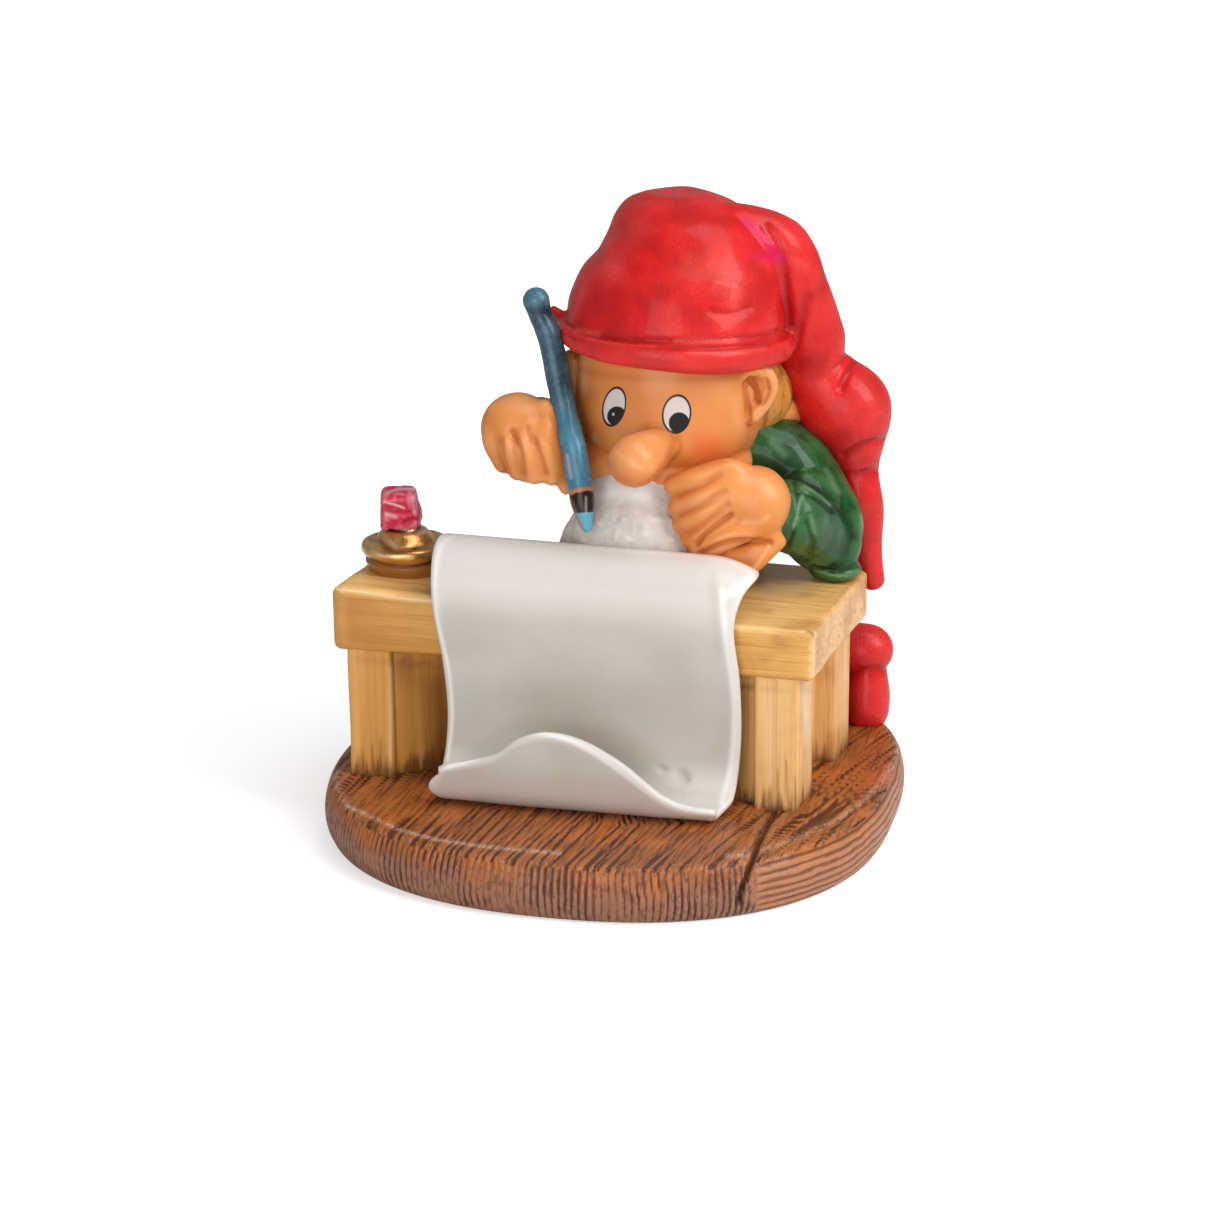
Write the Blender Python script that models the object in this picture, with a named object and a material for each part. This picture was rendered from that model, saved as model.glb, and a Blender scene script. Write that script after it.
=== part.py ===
"""Elf figurine: one painted casting of an elf writing at a plank table on a round wooden base.

The whole piece is one solid.  The furniture, the scroll and the ink bottle keep crisp edges, and
the modelled figure is fused first, so that its limbs, hat and beard run into each other as in a
casting.  Frame: +X to the viewer's right, +Y away from the viewer, +Z up, with the origin on the
underside, in the middle of the base.
"""
import math

import bmesh
import bpy
from mathutils import Matrix, Vector

MM = 0.001

# Base plate
BASE_WIDTH = 106.6 * MM
BASE_DEPTH = 107.0 * MM
BASE_HEIGHT = 10.5 * MM
BASE_BULGE = 2.4 * MM
BASE_FRONT_POWER = 2.3
BASE_BACK_POWER = 3.0
BASE_STEPS = 112
CRACK_WIDTH = 1.3 * MM
CRACK_DEPTH = 3.2 * MM
CRACK_PLACE = 34.5 * MM
CRACK_LEAN = math.radians(24.0)

# Plank table, a little left of the base's middle and behind it
TABLE_X = -4.4 * MM
TABLE_Y = 3.0 * MM
TABLE_LENGTH = 90.0 * MM
TABLE_DEPTH = 41.0 * MM
PLANK_SKEW = 0.083
TABLE_HEIGHT = 35.5 * MM
PLANK_THICKNESS = 10.5 * MM
PLANK_RISE = 2.0 * MM
PLANK_EDGE = 1.3 * MM
LEG_WIDTH = 8.4 * MM
LEG_DEPTH = 11.0 * MM
LEG_INSET = 2.4 * MM
LEG_EDGE = 0.9 * MM
PANEL_RECESS = 4.0 * MM
PANEL_POCKET = 9.0 * MM
POCKET_LEFT = -26.5 * MM
POCKET_RIGHT = 24.0 * MM

# Scroll
SCROLL_WIDTH = 54.0 * MM
SCROLL_CENTRE = -0.4 * MM
SCROLL_THICKNESS = 1.6 * MM
SCROLL_RISE = 9.8 * MM
SCROLL_FLAP = 15.0 * MM
SCROLL_TILT = 0.9 * MM
SCROLL_DROOP = 2.2 * MM
SCROLL_COLUMNS = 16

# Ink bottle
BOTTLE_RADIUS = 8.3 * MM
BOTTLE_HEIGHT = 8.4 * MM
BOTTLE_NECK = 3.1 * MM
BOTTLE_X = -36.8 * MM
BOTTLE_Y = -5.0 * MM
STOPPER_SIZE = 7.0 * MM
STOPPER_TURN = math.radians(14.0)

# Head and hat
HEAD_X = 11.0 * MM
HEAD_Y = 8.0 * MM
HEAD_RISE = 36.0 * MM
HEAD_WIDTH = 35.0 * MM
HEAD_DEPTH = 33.0 * MM
HEAD_HEIGHT = 38.0 * MM
NOSE_RADIUS = 4.9 * MM
EAR_HEIGHT = 9.0 * MM
EAR_RIM = 1.4 * MM
CHEEK_FULLNESS = 2.35
BRIM_HEIGHT = 4.8 * MM
BRIM_PROUD = 4.4 * MM
BRIM_TILT = 0.055
CROWN_HEIGHT = 26.5 * MM
TAIL_RADIUS = 6.2 * MM
TAIL_TIP_RADIUS = 2.6 * MM

# Pencil
PENCIL_RADIUS = 2.2 * MM
PENCIL_LENGTH = 44.0 * MM

# Body, with the unit in which the modelled places of the figure are given
FIGURE_UNIT = 1.0 * MM
FINGER_RADIUS = 2.2 * MM
PALM_RADIUS = 7.0 * MM
SLEEVE_RADIUS = 7.0 * MM
TORSO_WIDTH = 35.0 * MM
BOOT_RADIUS = 4.8 * MM
KNEE_SPREAD = 36.0 * MM
STOOL_RADIUS = 13.0 * MM
STOOL_HEIGHT = 11.0 * MM

# How finely the modelled figure is fused
VOXEL = 0.45 * MM
SMOOTH_STEPS = 3
FIGURE_SHARE = 0.0185

TABLE_TOP = BASE_HEIGHT + TABLE_HEIGHT
FRONT = TABLE_Y - TABLE_DEPTH / 2.0
BACK = TABLE_Y + TABLE_DEPTH / 2.0
MIDDLE_X = TABLE_X + 1.6 * MM
HEAD = Vector((MIDDLE_X + HEAD_X, TABLE_Y + HEAD_Y, TABLE_TOP + HEAD_RISE))
BRIM_LEVEL = 0.49


def desk(x, y, z):
    """A point in figure units from the middle of the figure's seat at the tabletop."""
    return Vector((MIDDLE_X, TABLE_Y, TABLE_TOP)) + Vector((x, y, z)) * FIGURE_UNIT


def behind(x, y, z):
    """A point in figure units, y from the table's back edge and z from the base's top."""
    return Vector((MIDDLE_X, BACK, BASE_HEIGHT)) + Vector((x, y, z)) * FIGURE_UNIT


def on_head(across, along, up):
    """A point in half widths, half depths and half heights from the middle of the head."""
    return HEAD + Vector((across * HEAD_WIDTH, along * HEAD_DEPTH, up * HEAD_HEIGHT)) / 2.0


def make_object(name, bm):
    """Turn a bmesh into a linked object with its faces pointing out."""
    bmesh.ops.recalc_face_normals(bm, faces=bm.faces)
    mesh = bpy.data.meshes.new(name)
    bm.to_mesh(mesh)
    bm.free()
    obj = bpy.data.objects.new(name, mesh)
    bpy.context.scene.collection.objects.link(obj)
    return obj


def make_guide(obj):
    """Mark an object as a form that is only used to build another."""
    obj.hide_render = True
    obj.display_type = "WIRE"
    return obj


def skin(bm, rings):
    """Join rings of points with faces and close both ends."""
    loops = [[bm.verts.new(point) for point in ring] for ring in rings]
    count = len(loops[0])
    for low, high in zip(loops, loops[1:]):
        for i in range(count):
            j = (i + 1) % count
            bm.faces.new((low[i], low[j], high[j], high[i]))
    bm.faces.new(list(reversed(loops[0])))
    bm.faces.new(loops[-1])


def curve_through(values, steps):
    """Values along a smooth curve through the given ones."""
    ends = [2 * values[0] - values[1]] + list(values) + [2 * values[-1] - values[-2]]
    smooth = []
    for a, b, c, d in zip(ends, ends[1:], ends[2:], ends[3:]):
        for step in range(steps):
            t = step / steps
            smooth.append(0.5 * (2 * b + (c - a) * t
                                 + (2 * a - 5 * b + 4 * c - d) * t ** 2
                                 + (3 * b - a - 3 * c + d) * t ** 3))
    smooth.append(values[-1])
    return smooth


def limb(bm, points, radii, flat=1.0, side=(1.0, 0.0, 0.0), sides=16, steps=5, round_ends=True):
    """Add a limb along a smooth path, flattened across the given side."""
    path = curve_through([Vector(point) for point in points], steps)
    sizes = curve_through(list(radii), steps)
    wide_hint = Vector(side)
    rings = []

    def ring(centre, ahead, radius):
        wide = (wide_hint - ahead * wide_hint.dot(ahead)).normalized()
        deep = ahead.cross(wide) * flat
        angles = [2 * math.pi * i / sides for i in range(sides)]
        return [centre + radius * (math.cos(a) * wide + math.sin(a) * deep) for a in angles]

    def cap(centre, ahead, radius, sign):
        turns = [math.radians(angle) for angle in (78, 55, 28)]
        made = [ring(centre + sign * ahead * radius * min(flat, 1.0) * math.sin(turn),
                     ahead, radius * math.cos(turn)) for turn in turns]
        return made if sign < 0 else list(reversed(made))

    last = len(path) - 1
    for i, centre in enumerate(path):
        ahead = (path[min(i + 1, last)] - path[max(i - 1, 0)]).normalized()
        if i == 0 and round_ends:
            rings += cap(centre, ahead, sizes[i], -1)
        rings.append(ring(centre, ahead, sizes[i]))
        if i == last and round_ends:
            rings += cap(centre, ahead, sizes[i], 1)
    skin(bm, rings)


def blob(bm, centre, radii, turn=(0.0, 0.0, 0.0)):
    """Add an ellipsoid."""
    tilt = Matrix.Rotation(turn[2], 4, "Z") @ Matrix.Rotation(turn[1], 4, "Y")
    tilt = tilt @ Matrix.Rotation(turn[0], 4, "X")
    size = Matrix.Diagonal((radii[0], radii[1], radii[2], 1.0))
    bmesh.ops.create_uvsphere(bm, u_segments=28, v_segments=18, radius=1.0,
                              matrix=Matrix.Translation(centre) @ tilt @ size)


def egg(bm, centre, radii, fullness):
    """Add an ellipsoid that is fuller above and below its middle."""
    rings = []
    levels, sides = 18, 28
    for level in range(1, levels):
        turn = math.pi * (level / levels - 0.5)
        up = math.copysign(abs(math.sin(turn)) ** (2 / fullness), math.sin(turn))
        out = math.cos(turn) ** (2 / fullness)
        angles = [2 * math.pi * i / sides for i in range(sides)]
        rings.append([centre + Vector((radii[0] * out * math.cos(a), radii[1] * out * math.sin(a),
                                       radii[2] * up)) for a in angles])
    skin(bm, rings)


def superellipse(half_width, half_depth, count):
    """An outline that is rounder at the front than at the back."""
    outline = []
    for i in range(count):
        angle = 2 * math.pi * i / count
        power = BASE_BACK_POWER if math.sin(angle) > 0 else BASE_FRONT_POWER
        across = math.copysign(abs(math.cos(angle)) ** (2 / power), math.cos(angle))
        along = math.copysign(abs(math.sin(angle)) ** (2 / power), math.sin(angle))
        outline.append((half_width * across, half_depth * along))
    return outline


def make_base():
    """The base plate: a thick slice with a bulging edge and a crack at the front right."""
    levels = ((0.0, 1.0), (0.1, 0.45), (0.3, 0.08), (0.55, 0.0), (0.8, 0.22), (0.94, 0.5), (1.0, 0.9))
    rings = []
    for share, inset in levels:
        outline = superellipse(BASE_WIDTH / 2 - BASE_BULGE * inset,
                               BASE_DEPTH / 2 - BASE_BULGE * inset, BASE_STEPS)
        rings.append([Vector((x, y, BASE_HEIGHT * share)) for x, y in outline])
    bm = bmesh.new()
    skin(bm, rings)
    base = make_object("elf_figurine", bm)

    bm = bmesh.new()
    bmesh.ops.create_cone(bm, cap_ends=True, segments=3, radius1=CRACK_DEPTH, radius2=CRACK_DEPTH,
                          depth=BASE_DEPTH * 0.26)
    squash = Matrix.Diagonal((CRACK_WIDTH / CRACK_DEPTH / 1.7, 1.0, 1.0, 1.0))
    bmesh.ops.transform(bm, matrix=squash, verts=bm.verts)
    crack = make_guide(make_object("crack_cutter", bm))
    share = (2 * CRACK_PLACE / BASE_WIDTH) ** BASE_FRONT_POWER
    front_y = -BASE_DEPTH / 2 * (1 - share) ** (1 / BASE_FRONT_POWER)
    crack.location = (CRACK_PLACE, front_y, BASE_HEIGHT * 0.62)
    crack.rotation_euler = (math.radians(-6.0), CRACK_LEAN, math.radians(8.0))
    return base, crack


def box(bm, low, high, edge, segments=2):
    """Add a box between two corners, its edges rounded."""
    centre = (Vector(low) + Vector(high)) / 2
    size = Vector(high) - Vector(low)
    made = bmesh.ops.create_cube(bm, size=1.0)
    verts = made["verts"]
    bmesh.ops.transform(bm, verts=verts,
                        matrix=Matrix.Translation(centre) @ Matrix.Diagonal((*size, 1.0)))
    edges = {item for vert in verts for item in vert.link_edges}
    bmesh.ops.bevel(bm, geom=list(edges), offset=edge, segments=segments, profile=0.6,
                    affect="EDGES", clamp_overlap=True)


def skew(bm):
    """Slide a form's rear to the right, as the whole table leans in plan."""
    for vert in bm.verts:
        vert.co.x += PLANK_SKEW * (vert.co.y - FRONT)
    return bm


def make_table():
    """The table: a thick plank that rises to the left, on four legs round a recessed panel."""
    half = TABLE_LENGTH / 2
    underside = TABLE_TOP - PLANK_THICKNESS
    bm = bmesh.new()
    box(bm, (TABLE_X - half, FRONT, underside), (TABLE_X + half, BACK, TABLE_TOP), PLANK_EDGE)
    for vert in bm.verts:
        left = (TABLE_X + half - vert.co.x) / TABLE_LENGTH
        if vert.co.z > underside + PLANK_THICKNESS / 2:
            vert.co.z += PLANK_RISE * (left - 0.5)
        else:
            vert.co.z -= PLANK_RISE * 0.35 * left
    forms = [make_guide(make_object("plank_form", skew(bm)))]

    low = BASE_HEIGHT * 0.5
    high = underside + PLANK_THICKNESS / 2
    rear = BACK - LEG_DEPTH - LEG_INSET
    for name, side, y in (("left_front", -1, FRONT), ("right_front", 1, FRONT),
                          ("left_rear", -1, rear), ("right_rear", 1, rear)):
        outer = TABLE_X + side * (half - LEG_INSET)
        inner = outer - side * LEG_WIDTH
        bm = bmesh.new()
        box(bm, (min(inner, outer), y + LEG_INSET / 4, low),
            (max(inner, outer), y + LEG_DEPTH, high), LEG_EDGE)
        forms.append(make_guide(make_object(name + "_leg_form", skew(bm))))

    left = TABLE_X - half + LEG_INSET + LEG_WIDTH / 2
    right = TABLE_X + half - LEG_INSET - LEG_WIDTH / 2
    step = FRONT + PANEL_RECESS
    lip = FRONT + LEG_INSET
    end = BACK - LEG_INSET * 2
    pocket = FRONT + PANEL_POCKET
    outline = [(left, lip), (left + LEG_WIDTH / 2 - LEG_EDGE, lip),
               (TABLE_X + POCKET_LEFT, pocket), (TABLE_X + POCKET_RIGHT, pocket),
               (TABLE_X + POCKET_RIGHT + PANEL_RECESS, step), (right, step),
               (right, end), (left, end)]
    bm = bmesh.new()
    skin(bm, [[Vector((x, y, z)) for x, y in outline] for z in (low, high)])
    forms.append(make_guide(make_object("panel_form", skew(bm))))
    return forms


def scroll_profile():
    """The scroll's middle line in Y and Z, from under the beard to the end of the flap."""
    foot = BASE_HEIGHT + SCROLL_THICKNESS * 0.42
    drop = TABLE_TOP - foot
    rise = SCROLL_RISE
    return [(TABLE_Y + 6.0 * MM, TABLE_TOP + SCROLL_THICKNESS * 0.3), (TABLE_Y, TABLE_TOP + rise * 0.3),
            (FRONT + 13.0 * MM, TABLE_TOP + rise * 0.8), (FRONT + 6.0 * MM, TABLE_TOP + rise),
            (FRONT + 0.8 * MM, TABLE_TOP + rise * 0.72), (FRONT - 1.8 * MM, TABLE_TOP),
            (FRONT - 1.7 * MM, foot + drop * 0.7), (FRONT - 0.6 * MM, foot + drop * 0.42),
            (FRONT - 0.6 * MM, foot + drop * 0.2), (FRONT - 2.8 * MM, foot + drop * 0.045),
            (FRONT - 6.8 * MM, foot), (FRONT - 10.4 * MM, foot + drop * 0.05),
            (FRONT - 12.4 * MM, foot + drop * 0.2), (FRONT - 13.0 * MM, foot + SCROLL_FLAP)]


# How far the scroll's left and right edges wander outwards along that line, in millimetres, and
# how much of its tilt and droop each place takes
SCROLL_LEFT = [0.5, 1.2, 2.0, 2.4, 2.1, 1.3, -0.4, -1.0, -0.5, 0.0, 0.5, 0.8, 0.6, 0.0]
SCROLL_RIGHT = [-5.0, -2.5, 0.6, 1.8, 0.2, -0.8, 0.3, 0.6, 0.2, -0.4, -1.6, -2.6, -3.0, -3.2]
SCROLL_CREST = [0.2, 0.5, 0.9, 1.0, 0.8, 0.3, 0.0, 0.0, 0.0, 0.0, 0.0, 0.0, 0.0, 0.0]

# The curled end's height: shares of the scroll's width from its peak, and of the peak's height
FLAP_PEAK = -0.09
FLAP_SHAPE = ((-0.44, 0.58), (-0.37, 0.74), (-0.28, 0.79), (-0.18, 0.85), (-0.10, 0.95), (0.0, 1.0),
              (0.10, 0.98), (0.20, 0.91), (0.30, 0.80), (0.42, 0.60), (0.49, 0.54), (0.62, 0.52))


def flap_height(x):
    """How high the curled end stands at x, as a share of its highest point."""
    place = (x - SCROLL_CENTRE) / SCROLL_WIDTH - FLAP_PEAK
    for (start, low), (end, high) in zip(FLAP_SHAPE, FLAP_SHAPE[1:]):
        if place <= end:
            return low + (high - low) * max(place - start, 0.0) / (end - start)
    return FLAP_SHAPE[-1][1]


def corner_droop(share, crest):
    """How far the sheet hangs below its middle line at a share of its width from the left."""
    corner = max(share - 0.86, 0.0) / 0.14
    return crest * (SCROLL_TILT * share + SCROLL_DROOP * corner ** 2)


def make_scroll():
    """The paper: one bent sheet that hangs over the table's front edge and curls up at its foot."""
    steps = 2
    line = curve_through([Vector((0.0, y, z)) for y, z in scroll_profile()], steps)
    left = curve_through([value * MM for value in SCROLL_LEFT], steps)
    right = curve_through([value * MM for value in SCROLL_RIGHT], steps)
    crest = curve_through(SCROLL_CREST, steps)
    turn = len(line) - 1 - 4 * steps
    middle = []
    for row, centre in enumerate(line):
        low = SCROLL_CENTRE - SCROLL_WIDTH / 2 - left[row]
        high = SCROLL_CENTRE + SCROLL_WIDTH / 2 + right[row]
        points = []
        for column in range(SCROLL_COLUMNS + 1):
            share = 0.5 - 0.5 * math.cos(math.pi * column / SCROLL_COLUMNS)
            x = low + (high - low) * (0.35 * share + 0.65 * column / SCROLL_COLUMNS)
            place = centre.copy()
            if row > turn:
                along = turn + (row - turn) * flap_height(x)
                before = int(along)
                after = min(before + 1, len(line) - 1)
                place = line[before].lerp(line[after], along - before)
            place.x = x
            place.z -= corner_droop((x - low) / (high - low), crest[row])
            points.append(place)
        middle.append(points)

    half = SCROLL_THICKNESS / 2
    last_row = len(middle) - 1
    bm = bmesh.new()
    faces_up, faces_down, rim = [], [], []
    outward = {}
    for row, points in enumerate(middle):
        upper, lower = [], []
        for column, point in enumerate(points):
            along = middle[min(row + 1, last_row)][column] - middle[max(row - 1, 0)][column]
            across = points[min(column + 1, SCROLL_COLUMNS)] - points[max(column - 1, 0)]
            normal = along.cross(across).normalized()
            upper.append(bm.verts.new(point + normal * half))
            lower.append(bm.verts.new(point - normal * half))
            edge = Vector()
            if column in (0, SCROLL_COLUMNS):
                edge += across.normalized() * (-half if column == 0 else half)
            if row in (0, last_row):
                edge += along.normalized() * (-half if row == 0 else half)
            outward[row, column] = point + edge * 0.75
        faces_up.append(upper)
        faces_down.append(lower)
    for upper, lower in ((faces_up, 1), (faces_down, -1)):
        for row in range(last_row):
            for column in range(SCROLL_COLUMNS):
                quad = [upper[row][column], upper[row][column + 1],
                        upper[row + 1][column + 1], upper[row + 1][column]]
                bm.faces.new(quad if lower > 0 else list(reversed(quad)))
    border = [(0, column) for column in range(SCROLL_COLUMNS)]
    border += [(row, SCROLL_COLUMNS) for row in range(last_row)]
    border += [(last_row, column) for column in range(SCROLL_COLUMNS, 0, -1)]
    border += [(row, 0) for row in range(last_row, 0, -1)]
    for row, column in border:
        rim.append(bm.verts.new(outward[row, column]))
    count = len(border)
    for i in range(count):
        j = (i + 1) % count
        (row, column), (next_row, next_column) = border[i], border[j]
        bm.faces.new((faces_up[row][column], rim[i], rim[j], faces_up[next_row][next_column]))
        bm.faces.new((rim[i], faces_down[row][column],
                      faces_down[next_row][next_column], rim[j]))
    return make_guide(make_object("scroll_form", bm))


def make_bottle():
    """The ink bottle, turned, with its rough square stopper."""
    height = BOTTLE_HEIGHT
    profile = [(0.9, -0.25), (0.9, 0.08), (0.94, 0.2), (0.9, 0.28), (0.96, 0.42), (1.0, 0.52),
               (1.0, 0.62), (0.95, 0.68), (0.86, 0.7), (0.7, 0.76), (0.5, 0.9)]
    outline = [(BOTTLE_RADIUS * radius, height * up) for radius, up in profile]
    outline += [(BOTTLE_NECK, height * 0.97), (BOTTLE_NECK, height + STOPPER_SIZE * 0.3)]
    foot = desk(0.0, 0.0, 0.0) + Vector((BOTTLE_X, BOTTLE_Y, PLANK_RISE * 0.4))
    bm = bmesh.new()
    steps = 32
    rings = []
    for radius, up in outline:
        angles = [2 * math.pi * i / steps for i in range(steps)]
        rings.append([foot + Vector((radius * math.cos(a), radius * math.sin(a), up))
                      for a in angles])
    skin(bm, rings)
    bottle = make_guide(make_object("bottle_form", bm))

    bm = bmesh.new()
    half = STOPPER_SIZE / 2
    box(bm, (-half, -half, -half), (half, half, half), STOPPER_SIZE * 0.16)
    for vert in bm.verts:
        vert.co.x *= 1.0 - 0.10 * vert.co.z / half
        vert.co.y *= 1.0 + 0.06 * vert.co.x / half
    stopper = make_guide(make_object("stopper_form", bm))
    stopper.location = foot + Vector((-STOPPER_SIZE * 0.16, 0.0, height + half * 0.96))
    stopper.rotation_euler = (math.radians(4.0), math.radians(-5.0), STOPPER_TURN)
    return [bottle, stopper]


def add_head(bm):
    """The head with its cheeks, nose, one clear ear and the hair that shows under the hat."""
    half = Vector((HEAD_WIDTH, HEAD_DEPTH, HEAD_HEIGHT)) / 2
    egg(bm, HEAD, half, CHEEK_FULLNESS)
    limb(bm, [on_head(0.1, -0.9, -0.39), on_head(0.0, -1.16, -0.43), on_head(-0.1, -1.36, -0.475)],
         [NOSE_RADIUS * 0.74, NOSE_RADIUS * 0.88, NOSE_RADIUS])
    ear = on_head(0.93, -0.31, 0.05)
    up = EAR_HEIGHT / 2
    limb(bm, [on_head(0.79, -0.44, 0.17), on_head(0.94, -0.41, 0.27), on_head(1.08, -0.38, 0.24),
              on_head(1.13, -0.35, 0.1), on_head(1.06, -0.35, -0.06), on_head(0.94, -0.38, -0.2)],
         [EAR_RIM] * 6, sides=10, side=(0.0, 1.0, 0.0))
    blob(bm, ear, (EAR_RIM * 2.3, EAR_RIM * 1.5, up))
    blob(bm, on_head(0.12, 0.45, -0.15), (half.x * 1.1, half.y * 0.7, half.z * 0.66))
    limb(bm, [on_head(-1.02, -0.18, 0.2), on_head(-1.0, -0.24, -0.2), on_head(-0.93, -0.28, -0.6)],
         [EAR_RIM * 1.7, EAR_RIM * 1.7, EAR_RIM * 1.3])


def add_hat(bm):
    """The cap: a rolled brim, a soft crown and the long tail that falls down the back."""
    wide = HEAD_WIDTH / 2 + BRIM_PROUD
    deep = HEAD_DEPTH / 2 + BRIM_PROUD
    centre = on_head(0.05, -0.02, BRIM_LEVEL)
    steps = 40
    angles = [2 * math.pi * i / steps for i in range(steps)]
    rings = []
    for up, out in ((-0.5, 0.92), (-0.42, 0.975), (-0.2, 1.0), (0.15, 1.0), (0.4, 0.98), (0.5, 0.92)):
        rings.append([centre + Vector((wide * out * math.cos(a), deep * out * math.sin(a),
                                       BRIM_HEIGHT * up - BRIM_TILT * wide * math.cos(a)))
                      for a in angles])
    skin(bm, rings)
    limb(bm, [centre + Vector((-wide * 0.9, -deep * 0.1, BRIM_TILT * wide)),
              centre + Vector((-wide * 1.05, -deep * 0.05, BRIM_TILT * wide + BRIM_HEIGHT * 0.55))],
         [BRIM_HEIGHT * 0.42, BRIM_HEIGHT * 0.17])
    rings = []
    for up, out, shift, back in ((0.0, 0.93, 0.0, 0.0), (0.16, 0.92, 0.0, 0.01), (0.3, 0.89, 0.0, 0.03),
                                 (0.47, 0.82, 0.035, 0.05), (0.58, 0.74, 0.07, 0.07),
                                 (0.7, 0.665, 0.065, 0.1), (0.83, 0.57, 0.03, 0.12),
                                 (0.92, 0.43, -0.02, 0.16), (0.975, 0.24, -0.06, 0.2)):
        spot = centre + Vector((shift * wide, back * deep, CROWN_HEIGHT * up))
        rings.append([spot + Vector((wide * out * math.cos(a), deep * out * math.sin(a), 0.0))
                      for a in angles])
    skin(bm, rings)
    fall, tip = TAIL_RADIUS, TAIL_TIP_RADIUS
    limb(bm, [desk(9.0, 9.0, 64.0), desk(19.0, 10.5, 64.0), desk(29.0, 13.0, 60.8),
              desk(32.2, 15.8, 53.0), desk(34.6, 19.0, 43.5), desk(35.2, 20.2, 38.0),
              desk(37.6, 21.2, 34.2), desk(41.2, 22.0, 29.4), desk(42.6, 23.0, 22.6),
              desk(43.2, 24.0, 17.0),
              desk(44.0, 24.0, 10.5), desk(45.6, 24.0, 2.7), desk(47.0, 24.0, -4.0)],
         [1.16 * fall, 1.1 * fall, 1.13 * fall, 1.08 * fall, 1.12 * fall, 1.04 * fall, 1.22 * fall,
          1.42 * fall, 1.04 * fall, 0.73 * fall, 0.78 * fall, 1.2 * tip, 0.9 * tip], flat=0.88)


def add_beard(bm):
    """The beard, spread over the end of the scroll."""
    limb(bm, [on_head(-0.1, -0.5, -0.8), desk(7.2, -2.0, 15.0), desk(6.6, -3.5, 10.0),
              desk(6.0, -3.0, 3.0), desk(5.0, -2.0, -1.0)],
         [8.4 * MM, 10.4 * MM, 12.8 * MM, 14.6 * MM, 14.6 * MM], flat=0.6)


def add_pencil(bm):
    """The stubby, slightly bent pencil, sharpened to a point that touches the beard."""
    radius = PENCIL_RADIUS
    places = ((-12.2, -1.5, 52.4), (-11.3, -1.8, 49.8), (-9.9, -2.2, 47.0), (-8.0, -3.0, 40.0),
              (-6.0, -4.4, 31.0), (-4.4, -5.2, 24.0), (-3.0, -5.6, 17.4), (-2.0, -5.6, 13.4),
              (-1.0, -5.4, 9.2))
    tip = desk(*places[-1])
    share = PENCIL_LENGTH / (desk(*places[0]) - tip).length
    limb(bm, [tip + (desk(*place) - tip) * share for place in places],
         [radius * 1.16, radius * 0.96, radius * 1.0, radius * 1.04, radius, radius * 1.05,
          radius * 1.02, radius * 0.8, radius * 0.5], sides=12)


def add_hands(bm):
    """The fist round the pencil, and the other hand, laid on the end of the scroll."""
    palm, finger = PALM_RADIUS, FINGER_RADIUS
    blob(bm, desk(-15.0, -4.0, 28.8), (palm * 1.02, palm * 0.93, palm * 0.98))
    blob(bm, desk(-12.2, -5.0, 24.2), (palm * 0.86, palm * 0.72, palm * 0.74))
    for x, y, z in ((-18.9, -7.6, 27.6), (-15.7, -9.2, 26.8), (-12.5, -9.7, 26.4), (-9.5, -8.8, 26.2)):
        limb(bm, [desk(x + 0.4, y + 1.8, z + 4.6), desk(x, y, z), desk(x + 1.6, y + 0.9, z - 4.8)],
             [finger * 0.95, finger * 1.02, finger * 0.88])
    limb(bm, [desk(-9.8, -5.0, 33.0), desk(-8.3, -6.0, 28.6), desk(-6.9, -6.6, 23.0),
              desk(-5.5, -6.2, 18.6)], [finger, finger * 0.98, finger * 0.86, finger * 0.6])

    blob(bm, desk(29.2, -3.5, 17.4), (palm * 0.96, palm * 0.9, palm * 1.0))
    blob(bm, desk(21.0, -5.6, 17.6), (palm * 0.8, palm * 0.6, palm * 0.78))
    for spots in (((28.0, -4.0, 22.4), (24.7, -6.0, 24.0), (19.4, -7.5, 22.6), (14.6, -7.0, 20.7)),
                  ((28.0, -6.0, 20.0), (24.9, -7.4, 21.0), (20.1, -8.7, 19.3), (15.6, -8.0, 17.0)),
                  ((28.0, -7.0, 17.4), (24.0, -8.3, 17.9), (20.2, -9.1, 16.2), (16.6, -8.5, 14.0)),
                  ((27.5, -7.0, 14.6), (24.0, -8.2, 14.8), (20.8, -8.6, 13.2), (18.0, -8.0, 11.4))):
        limb(bm, [desk(*spot) for spot in spots],
             [finger * 1.05, finger * 1.04, finger, finger * 0.86], side=(0.0, 0.0, 1.0))
    limb(bm, [desk(29.6, -6.5, 14.2), desk(26.6, -8.4, 13.0), desk(23.1, -9.4, 11.0),
              desk(20.2, -8.8, 9.2)], [finger * 1.2, finger * 1.16, finger * 1.02, finger * 0.88],
         side=(0.0, 0.0, 1.0))
    limb(bm, [desk(31.4, -3.0, 11.6), desk(29.0, -5.0, 8.0), desk(26.0, -6.0, 5.0)],
         [finger * 1.9, finger * 1.5, finger * 1.3], flat=0.8)
    limb(bm, [desk(19.0, -6.0, 8.6), desk(24.0, -6.0, 7.8), desk(28.0, -5.5, 7.6)],
         [finger * 1.1, finger * 1.2, finger * 1.1])


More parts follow.
